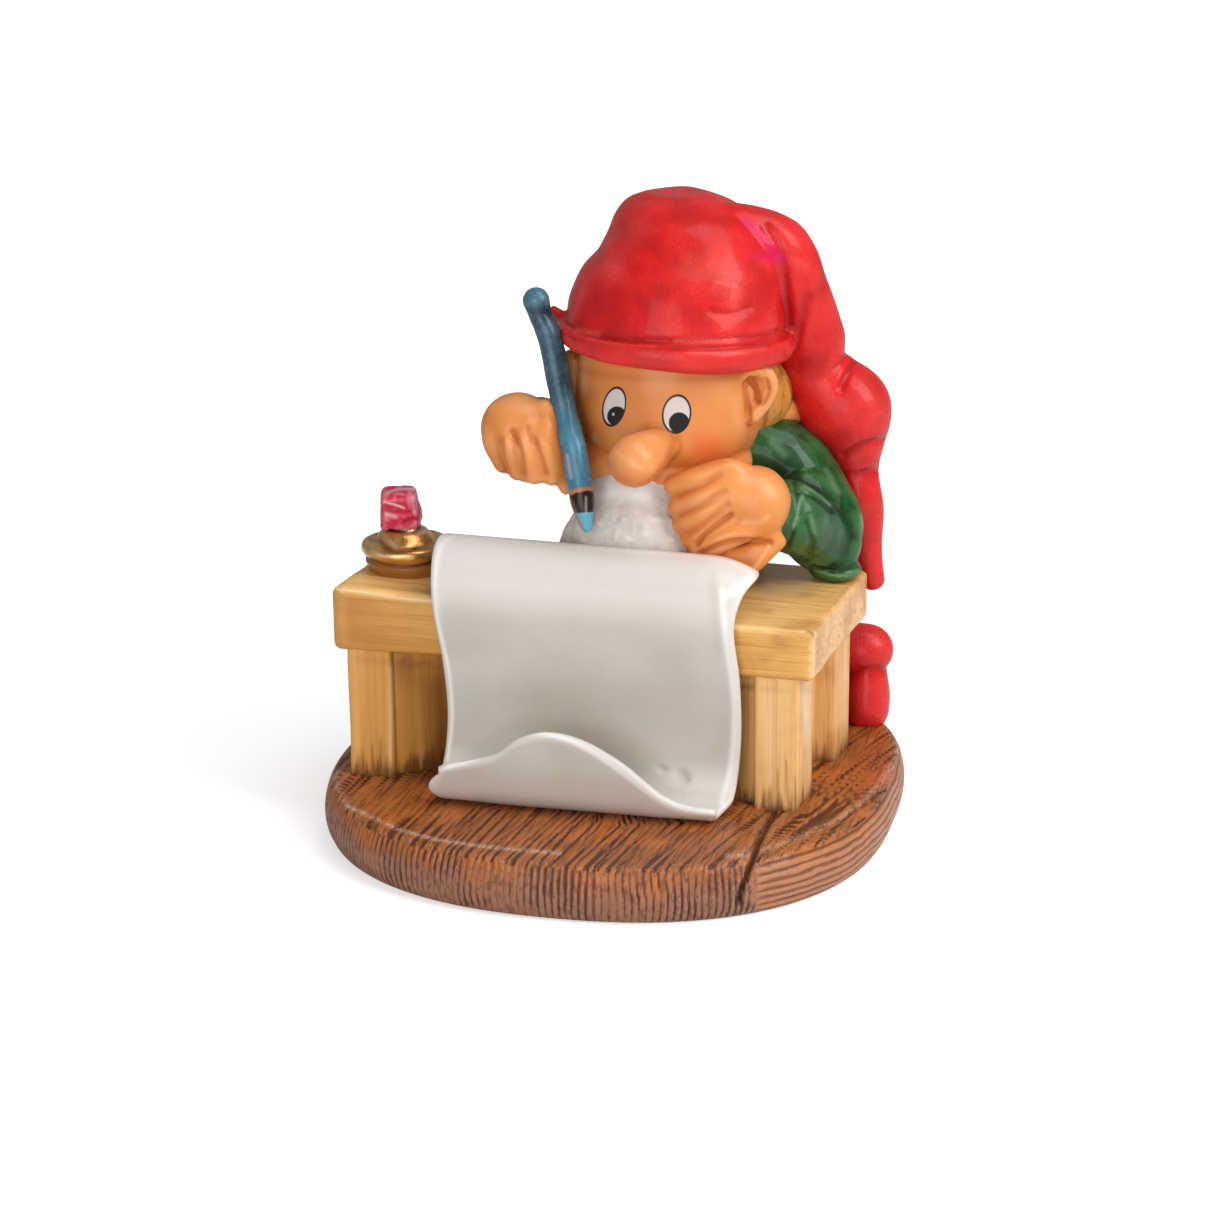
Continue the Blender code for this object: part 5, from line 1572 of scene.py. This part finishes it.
class FIGURINE_OT_hat(bpy.types.Operator):
    """Make the stocking cap"""

    bl_idname = "figurine.hat"
    bl_label = "Stocking Cap"

    def execute(self, context):
        settings = context.scene.figurine_figure
        hat = fused("stocking_cap", hat_forms, settings.voxel * 1.35, 4)
        roughen(hat.data, 11.0, 0.4, 51)
        roughen(hat.data, 4.5, 0.16, 52)
        # Light strokes: painted highlights on the brim and the crown's facets; dark strokes: painted shade
        # in the fold, the grooves and under the brim
        groove = "566,322 588,334 656,341 734,338 781,331"
        roll = "563,334 588,341 656,348 700,349 768,345"
        touch(hat.data,
              pressed=f"{groove} 2.6 0.5; {roll} 1.5 0.28; 766,226 780,252 785,295 786,333 7 0.7; "
              f"795,345 803,318 808,298 5 0.5; 600,238 612,232 9 0.5; 852,364 841,388 4 0.6; "
              f"884,440 862,446 844,456 4 0.7; 876,470 856,476 4 0.5; "
              f"716,284 736,290 732,300 7 -0.25; 713,312 728,314 748,307 5 0.2; "
              f"786,350 787,358 2 0.4", light="612,272 622,250 637,228 13 0.35; 608,262 616,270 8 0.35; "
              "690,262 716,268 740,284 730,302 11 0.42; 716,290 736,292 734,304 6 0.55; "
              "764,262 779,272 782,292 6 0.35; 576,330 598,334 2.8 0.95; "
              "588,339 622,345 656,347 1.4 0.6; 676,341 705,340 734,340 2.8 0.7; "
              "690,353 730,352 765,348 2.4 0.7; 787,342 791,350 789,360 1.8 0.6; "
              "559,326 571,347 3.4 0.5; 792,260 806,266 4.5 0.5; 834,360 824,386 6 0.4; "
              "853,455 861,482 4 0.35; 830,300 845,338 8 0.25; 862,393 880,412 10 0.3; "
              "583,290 577,312 4 0.3; 770,320 776,332 8 0.3",
              dark=f"786,275 787,300 786,333 3.4 0.6; 807,300 797,326 5 0.4; "
              f"597,300 618,312 16 0.35; 652,246 660,252 8 0.4; "
              f"712,309 728,311 750,306 3.4 0.45; 814,428 843,459 5 0.5; "
              f"852,364 841,388 3.4 0.4; 882,434 862,444 845,456 4 0.5; {groove} 1.4 0.35; "
              f"{roll} 1 0.35; 575,366 661,373 740,369 2 0.4")
        store(hat.data, "wash",
              np.clip(strokes(hat.data, "746,222 763,238 781,258 5 0.9; 756,256 782,260 4.5 0.8"), 0.0,
                      1.0))
        keep(hat, red_paint("cap_paint", settings, True), (50, 0.45))
        return {"FINISHED"}


# The hands and the pencil

def left_hand_forms(bm):
    """The fist round the pencil."""
    palm, finger = PALM_RADIUS, FINGER_RADIUS
    blob(bm, desk(-15.0, -4.0, 28.8), (palm * 1.02, palm * 0.93, palm * 0.98))
    blob(bm, desk(-12.2, -5.0, 24.2), (palm * 0.86, palm * 0.72, palm * 0.74))
    blob(bm, desk(-14.6, -6.2, 28.6), (palm * 0.92, palm * 0.6, palm * 0.86))
    for x, y, z in ((-18.9, -7.6, 27.6), (-15.7, -9.2, 26.8), (-12.5, -9.7, 26.4), (-9.5, -8.8, 26.2)):
        limb(bm, [desk(x + 0.4, y + 1.8, z + 4.6), desk(x, y, z), desk(x + 1.6, y + 0.9, z - 4.8)],
             [finger * 0.95, finger * 1.02, finger * 0.88])
    limb(bm, points_at(desk, "-9.8 -5 33; -8.3 -6 28.6; -6.9 -6.6 23; -5.5 -6.2 18.6"),
         [finger, finger * 0.98, finger * 0.86, finger * 0.6])


def right_hand_forms(bm):
    """The other hand, laid on the end of the scroll."""
    palm, finger = PALM_RADIUS, FINGER_RADIUS
    blob(bm, desk(29.2, -3.5, 17.4), (palm * 0.96, palm * 0.9, palm * 1.0))
    blob(bm, desk(21.0, -5.6, 17.6), (palm * 0.8, palm * 0.6, palm * 0.78))
    blob(bm, desk(25.6, -5.0, 18.4), (palm * 0.95, palm * 0.72, palm * 0.92))
    for bones in ("28 -4 22.4; 24.7 -6 24; 19.4 -7.5 22.6; 14.6 -7 20.7",
                  "28 -6 20; 24.9 -7.4 21; 20.1 -8.7 19.3; 15.6 -8 17",
                  "28 -7 17.4; 24 -8.3 17.9; 20.2 -9.1 16.2; 16.6 -8.5 14",
                  "27.5 -7 14.6; 24 -8.2 14.8; 20.8 -8.6 13.2; 18 -8 11.4"):
        limb(bm, points_at(desk, bones), [finger * 1.05, finger * 1.04, finger, finger * 0.86],
             side=(0.0, 0.0, 1.0))
    limb(bm, points_at(desk, "29.6 -6.5 14.2; 26.6 -8.4 13; 23.1 -9.4 11; 20.2 -8.8 9.2"),
         [finger * 1.2, finger * 1.16, finger * 1.02, finger * 0.88], side=(0.0, 0.0, 1.0))
    limb(bm, points_at(desk, "31.4 -3 11.6; 29 -5 8; 26 -6 5"), [finger * 1.9, finger * 1.5, finger * 1.3],
         flat=0.8)
    limb(bm, points_at(desk, "19 -6 8.6; 24 -6 7.8; 28 -5.5 7.6"),
         [finger * 1.1, finger * 1.2, finger * 1.1])


class FIGURINE_OT_hands(bpy.types.Operator):
    """Make both hands"""

    bl_idname = "figurine.hands"
    bl_label = "Hands"

    def execute(self, context):
        settings = context.scene.figurine_figure
        paint = skin_paint("hand_paint", settings, False)
        # Light strokes are painted highlights on the knuckles, fingers and palm; dark strokes are painted
        # shade between the fingers, beside the fist and under the laid hand
        fist = ("500,440 502,458 507,472", "512,432 520,452 523,473", "528,428 538,450 546,474")
        laid = ("721,474 700,486 678,496", "725,490 702,505 680,515", "727,506 706,524 688,534")
        under = "700,553 716,546 738,541 770,543"

        def along(lines, reach, strength):
            return "; ".join(f"{line} {reach} {strength}" for line in lines)

        drawn = {"left_hand": (along(fist, 3.4, 0.5),
                               "505,402 535,400 14 0.4; 524,482 556,486 5 0.5; 491,436 495,452 3 0.3; "
                               "508,440 513,458 2.6 0.4; 525,438 531,456 2.6 0.4; 548,446 557,470 2.6 0.35",
                               along(fist, 5.0, 0.5)
                               + "; 553,420 561,448 568,480 3.2 0.6; 482,450 497,470 512,478 4 0.35"),
                 "right_hand": (along(laid, 3.4, 0.3) + f"; 731,515 706,533 697,544 2.6 0.6; {under} 3 0.7",
                                "745,521 758,523 768,517 2.6 0.5; 745,480 775,495 14 0.35; "
                                "769,546 762,558 754,569 1.8 0.8; 706,480 690,487 2.4 0.3; "
                                "708,497 692,505 2.4 0.3", along(laid, 5.0, 0.35)
                                + f"; {under} 4 0.9; 700,562 725,560 748,562 9 0.55; "
                                "731,516 706,534 697,545 2.2 0.6; 664,492 672,515 684,538 5 0.45; "
                                "660,478 690,468 725,462 4 0.4")}
        for name, forms, seed in (("left_hand", left_hand_forms, 61), ("right_hand", right_hand_forms, 62)):
            hand = fused(name, forms, settings.voxel * 0.8, 60)
            roughen(hand.data, 5.0, 0.08, seed)
            touch(hand.data, *drawn[name])
            keep(hand, paint, (30, 0.3))
        return {"FINISHED"}


def pencil_path():
    """Places along the slightly bent pencil, from its top to its point."""
    return points_at(desk, "-12.2 -1.5 52.4; -11.3 -1.8 49.8; -9.9 -2.2 47; -8 -3 40; -6 -4.8 32.2; "
                     "-3.9 -7.2 27; -2.4 -9.2 21.7; -1.4 -10.6 17.9; -0.3 -11.8 13.5")


def pencil_forms(bm):
    """The stubby pencil, sharpened to a point that touches the beard."""
    shares = (1.16, 0.96, 1.0, 1.04, 1.02, 1.05, 1.05, 1.0, 0.56)
    limb(bm, pencil_path(), [PENCIL_RADIUS * share for share in shares], sides=24)


def store_run(mesh):
    """Store how far up the pencil each point lies, in millimetres from its tip."""
    points = points_of(mesh)
    path = np.array([tuple(place) for place in curve_through(pencil_path(), STROKE_STEPS)])[::-1]
    nearest, run = np.full(len(points), np.inf), np.zeros(len(points))
    passed = -PENCIL_RADIUS * 0.5
    for start, end in zip(path, path[1:]):
        along = end - start
        share = (points - start) @ along / (along @ along)
        share = np.clip(share, -9.0 if passed < 0 else 0.0, 1.0)
        gap = np.linalg.norm(points - start - np.clip(share, 0.0, 1.0)[:, None] * along, axis=1)
        closer = gap < nearest
        length_here = np.linalg.norm(along)
        run[closer] = (passed + PENCIL_RADIUS * 0.5 + share * length_here)[closer]
        nearest[closer] = gap[closer]
        passed = max(passed, 0.0) + length_here if passed >= 0 else length_here - PENCIL_RADIUS * 0.5
    store(mesh, "run", run / MM)


def pencil_paint(settings):
    """Blue paint down to the sharpened wood, with black marks and a light blue point."""
    p = Paint("pencil_paint", roughness=0.3, coat=0.35, coat_roughness=0.08)
    brush = p.group(brush_group(), Cloud_Size=0.004, Mark_Size=0.0005)
    relief = p.group(relief_group(), Grain=700.0, Spread=0.5)
    run = p.stored("run")
    along = p.plus(run, p.times(p.less(brush["Clouds"], 0.5), 1.4))
    p.tone = p.mix(p.ramp(along, 14.0, 30.0), settings.pencil, settings.pencil_deep)
    p.coats(relief, Ridge=(0.4, PENCIL_RIDGE), Hollow=(0.6, settings.pencil_deep))
    p.lay(p.ramp(brush["Marks"], 0.62, 0.72, 0.0, 0.5), PENCIL_MARKS)
    p.lay(p.ramp(along, 6.8, 6.4), settings.cone)
    p.lay(p.ramp(along, 6.0, 5.7), PENCIL_BLACK)
    p.lay(p.ramp(along, 2.7, 2.4), settings.lead)
    p.coats(relief, Dark=(1.0, settings.cone), Light=(1.0, BARE_WOOD))
    return p.finish(p.ramp(brush["Marks"], 0.3, 0.7, 0.2, 0.36), brush["Height"], 0.0002)


class FIGURINE_OT_pencil(bpy.types.Operator):
    """Make the pencil"""

    bl_idname = "figurine.pencil"
    bl_label = "Pencil"

    def execute(self, context):
        settings = context.scene.figurine_figure
        pencil = fused("pencil", pencil_forms, settings.voxel * 0.85, 2)
        roughen(pencil.data, 3.0, 0.2, 71)
        store_run(pencil.data)
        touch(pencil.data, light="586,497 586,513 1 0.5; 567,455 571,478 1.6 0.4",
              dark="562,484 569,504 579,526 3 1")
        keep(pencil, pencil_paint(settings), (24, 0.22))
        return {"FINISHED"}


# The jacket and the legs

def jacket_forms(bm):
    """The jacket with both sleeves, behind and on the table."""
    half = TORSO_WIDTH / 2
    limb(bm, points_at(behind, "9 11.5 15; 9 10.5 20; 9 8.5 32; 9.5 5 46; 10 1.5 56; 10.5 -4 62"),
         [half * 0.96, half * 0.98, half * 0.84, half * 0.98, half, half * 0.6], flat=0.72, sides=48)
    sleeve = SLEEVE_RADIUS
    limb(bm, points_at(desk, "25 15 23.2; 32.4 15.2 19.6; 38.8 15 10.6; 40 13.8 6"),
         [sleeve * 1.14, sleeve * 1.04, sleeve * 0.97, sleeve * 0.9])
    limb(bm, points_at(desk, "38.5 12 7.2; 36.8 7 10.8; 34.9 1.5 14"),
         [sleeve * 0.92, sleeve * 0.92, sleeve * 0.95])
    blob(bm, desk(36.0, 11.0, 13.5), (sleeve * 0.95, sleeve, sleeve * 1.1))
    blob(bm, HEAD + Vector((16.5, 9.0, -15.4)) * MM, (sleeve, sleeve * 0.9, sleeve * 0.96))
    blob(bm, desk(41.4, 13.5, 1.0), (sleeve * 0.72, sleeve * 0.7, sleeve * 0.36))
    limb(bm, [behind(-2.0, -1.0, 59.5), behind(-11.0, -2.0, 57.5), desk(-13.0, 10.0, 25.0),
              desk(-13.4, 3.0, 27.6)], [sleeve, sleeve * 0.92, sleeve * 0.86, sleeve * 0.86], flat=0.95)


def leg_forms(bm):
    """The legs, spread to both sides of a round stool, and the boots."""
    middle = behind(9.0, 11.5, 0.0)
    for side in (-1.0, 1.0):
        knee = middle + Vector((side * KNEE_SPREAD, 1.5 * MM, 14.2 * MM))
        hip = middle + Vector((side * 8.0 * MM, -1.0 * MM, 14.0 * MM))
        limb(bm, [hip, hip.lerp(knee, 0.5) + Vector((0.0, 0.0, 1.0 * MM)), knee],
             [BOOT_RADIUS * 1.5, BOOT_RADIUS * 1.15, BOOT_RADIUS * 1.03], side=(0.0, 1.0, 0.0))
        ankle = knee - Vector((0.0, 0.4 * MM, 5.4 * MM))
        sole = Vector((ankle.x, ankle.y - 0.8 * MM, BASE_HEIGHT + BOOT_RADIUS * 0.55))
        limb(bm, [ankle, ankle.lerp(sole, 0.5), sole],
             [BOOT_RADIUS * 0.86, BOOT_RADIUS * 0.98, BOOT_RADIUS * 1.02])


def jacket_paint(settings):
    """Green paint, deep green and painted shade in the folds, light on the ridges, with painted highlights.
    """
    p = Paint("jacket_paint", roughness=0.34, coat=0.35, coat_roughness=0.08, specular=0.15)
    relief = p.group(relief_group(), Grain=300.0, Spread=0.6)
    brush = p.group(brush_group(), Cloud_Size=0.0055, Mark_Size=0.00045)
    p.tone = p.mix(p.ramp(brush["Clouds"], 0.6, 0.38, 0.0, 0.8), settings.jacket, settings.jacket_deep)
    dry = p.times(p.ramp(brush["Clouds"], 0.5, 0.7), p.ramp(brush["Marks"], 0.48, 0.64))
    p.lay(p.times(dry, 0.2), settings.jacket_dry)
    # Painted shade in the folds and from the dark strokes, painted highlights from the light strokes
    p.coats(relief, Ridge=(0.22, settings.jacket_dry), Hollow=(0.85, settings.jacket_deep),
            Dark=(1.0, settings.jacket_deep), Light=(1.0, JACKET_LIGHT))
    rough = p.ramp(brush["Marks"], 0.35, 0.65, 0.2, 0.42)
    return p.finish(rough, brush["Height"], 0.00025)


def stool_paint(settings):
    """Plain brown wood under the seat."""
    p = Paint("stool_paint", roughness=0.4, coat=0.2)
    place = p.place()
    grain = p.group(grain_group(), Vector=p.stretched(place, (1.0, 1.0, 0.08)), Width=0.0012)
    relief = p.group(relief_group())
    p.tone = p.mix(p.times(grain["Fine"], 0.7), settings.ridge, settings.groove)
    p.lay(relief["Hollow"], settings.groove)
    return p.finish(None, grain["Height"], 0.0003)


class FIGURINE_OT_clothes(bpy.types.Operator):
    """Make the jacket, the trousers with their boots, and the stool"""

    bl_idname = "figurine.clothes"
    bl_label = "Jacket, Legs and Stool"

    def execute(self, context):
        settings = context.scene.figurine_figure
        jacket = fused("jacket", jacket_forms, settings.voxel * 1.6, 3)
        roughen(jacket.data, 7.0, 0.4, 81)
        roughen(jacket.data, 3.0, 0.14, 82)
        # Light strokes: painted highlights on the sleeve, cuff and right edge; dark strokes: painted shade
        # in the creases and under the cuff
        touch(jacket.data,
              pressed="794,482 800,500 796,524 788,548 2.2 0.5; 799,490 815,498 832,512 2.4 0.5; "
              "806,520 812,540 811,556 3 0.4; 812,567 840,572 862,566 1.8 0.5; "
              "780,545 795,556 808,562 2 0.3",
              light="772,442 784,454 4 0.3; 802,496 798,512 794,527 1.6 0.7; "
              "811,516 815,533 2.2 0.35; 862,516 867,544 2.6 0.5; "
              "760,428 766,421 774,419 2.4 0.3; 804,486 818,494 830,505 1.2 0.5; "
              "815,571 840,576 860,571 1.4 0.5; 826,470 838,492 3 0.25",
              dark="776,462 790,474 6 0.5; 795,482 797,505 790,545 1.8 0.6; "
              "800,491 816,500 832,513 1.6 0.6; 812,566 840,570 862,564 1.6 0.6; "
              "820,545 850,555 8 0.3")
        keep(jacket, jacket_paint(settings), (36, 0.35))
        legs = fused("trousers", leg_forms, settings.voxel * 1.7, 3)
        roughen(legs.data, 6.0, 0.3, 84)
        mark_relief(legs.data, 36, 0.4)
        # Light strokes: painted highlights on the boot; dark strokes: painted shade in its crease
        touch(legs.data, pressed="859,670 876,668 891,671 2.6 0.5",
              light="862,663 872,665 2 0.6; 866,676 868,690 2 0.4; 876,640 882,646 6 0.35; "
              "882,680 884,705 3 0.3", dark="860,671 876,669 890,672 1.8 0.7")
        keep(legs, red_paint("trouser_paint", settings, False))
        middle = behind(9.0, 11.5, 0.0)
        outline = [(STOOL_RADIUS, -1.0 * MM), (STOOL_RADIUS, STOOL_HEIGHT * 0.5),
                   (STOOL_RADIUS * 0.96, STOOL_HEIGHT)]
        stool = turned("stool", middle, outline, STOOL_STEPS)
        roughen(stool.data, 2.0, 0.2, 86, (1.0, 1.0, 6.0))
        keep(stool, stool_paint(context.scene.figurine_base), (8, 0.22))
        return {"FINISHED"}


# The stage

class FIGURINE_OT_stage(bpy.types.Operator):
    """Make the floor, the soft lamps and the camera"""

    bl_idname = "figurine.stage"
    bl_label = "Floor, Light and Camera"

    def execute(self, context):
        settings = context.scene.figurine_stage
        scene = context.scene
        bm = bmesh.new()
        bmesh.ops.create_grid(bm, x_segments=1, y_segments=1, size=FLOOR_HALF)
        floor = make_object("floor", bm)
        p = Paint("floor_paint", roughness=0.9)
        path = p.node("ShaderNodeLightPath").outputs
        seen = p.math("ADD", path["Is Camera Ray"], path["Is Transmission Ray"], clamp=True)
        p.tone = (*settings.floor,)
        p.finish()
        p.shader.inputs["Specular IOR Level"].default_value = 0.0
        p.shader.inputs["Emission Color"].default_value = (1.0, 1.0, 1.0, 1.0)
        gap = p.node("ShaderNodeVectorMath", operation="LENGTH")
        p.feed(gap.inputs[0], p.place())
        glow = p.ramp(gap.outputs["Value"], GLOW_NEAR, GLOW_FAR, settings.near_glow, 1.0)
        p.feed(p.shader.inputs["Emission Strength"], p.times(seen, glow))
        floor.data.materials.append(p.material)

        world = bpy.data.worlds.new("soft_sky")
        scene.world = world
        world.use_nodes = True
        nodes, links = world.node_tree.nodes, world.node_tree.links
        sky = nodes["Background"]
        sky.inputs["Color"].default_value = (1.0, 1.0, 1.0, 1.0)
        path = nodes.new("ShaderNodeLightPath")
        mix = nodes.new("ShaderNodeMapRange")
        links.new(path.outputs["Is Camera Ray"], mix.inputs["Value"])
        mix.inputs["To Min"].default_value = settings.sky
        mix.inputs["To Max"].default_value = 1.0
        links.new(mix.outputs["Result"], sky.inputs["Strength"])

        right, up, forward = camera_axes()
        for name, side, rise, back, size, power in (("key_lamp", 0.48, 0.38, 0.28, 0.36,
                settings.key_power), ("fill_lamp", -0.16, 0.10, 0.56, 0.44, settings.fill_power),
                ("top_lamp", 0.18, 0.50, 0.12, 0.36, settings.top_power)):
            lamp = bpy.data.lights.new(name, "AREA")
            lamp.shape = "SQUARE"
            lamp.size = size
            lamp.energy = power
            held = bpy.data.objects.new(name, lamp)
            scene.collection.objects.link(held)
            level = Vector((forward.x, forward.y, 0.0)).normalized()
            held.location = AIM + right * side - level * back + Vector((0.0, 0.0, rise))
            held.rotation_euler = (AIM - held.location).to_track_quat("-Z", "Y").to_euler()

        lens = bpy.data.cameras.new("photo_camera")
        lens.sensor_width = 36.0
        lens.lens = lens.sensor_width * FOCAL_PIXELS / IMAGE_SIDE
        lens.clip_start = 0.01
        camera = bpy.data.objects.new("photo_camera", lens)
        scene.collection.objects.link(camera)
        turn = Matrix((right, up, -forward)).transposed().to_4x4()
        distance = FOCAL_PIXELS / PIXELS_PER_MM * MM
        turn.translation = CAMERA_TARGET - forward * distance
        camera.matrix_world = turn
        scene.camera = camera
        scene.view_settings.view_transform = "Standard"
        return {"FINISHED"}


class FIGURINE_PT_panel(bpy.types.Panel):
    """Buttons and settings of the figurine"""

    bl_label = "Painted Elf Figurine"
    bl_idname = "FIGURINE_PT_panel"
    bl_space_type = "VIEW_3D"
    bl_region_type = "UI"
    bl_category = "Figurine"

    def draw(self, context):
        for operator in OPERATORS:
            self.layout.operator(operator.bl_idname)
        for name, group in SETTINGS.items():
            box = self.layout.box()
            settings = getattr(context.scene, name)
            for key in group.__annotations__:
                box.prop(settings, key)


OPERATORS = (FIGURINE_OT_stage, FIGURINE_OT_base, FIGURINE_OT_table, FIGURINE_OT_scroll, FIGURINE_OT_bottle,
             FIGURINE_OT_head, FIGURINE_OT_hat, FIGURINE_OT_hands, FIGURINE_OT_pencil, FIGURINE_OT_clothes)


def register():
    """Add the settings, operators and panel to Blender."""
    for item in (*SETTINGS.values(), *OPERATORS, FIGURINE_PT_panel):
        bpy.utils.register_class(item)
    for name, group in SETTINGS.items():
        setattr(bpy.types.Scene, name, PointerProperty(type=group))


def unregister():
    """Take them out again."""
    for name in SETTINGS:
        delattr(bpy.types.Scene, name)
    for item in (FIGURINE_PT_panel, *reversed(OPERATORS), *SETTINGS.values()):
        bpy.utils.unregister_class(item)


def main():
    """Make the whole figurine."""
    register()
    for operator in OPERATORS:
        group, name = operator.bl_idname.split(".")
        getattr(getattr(bpy.ops, group), name)()


if __name__ == "__main__":
    main()
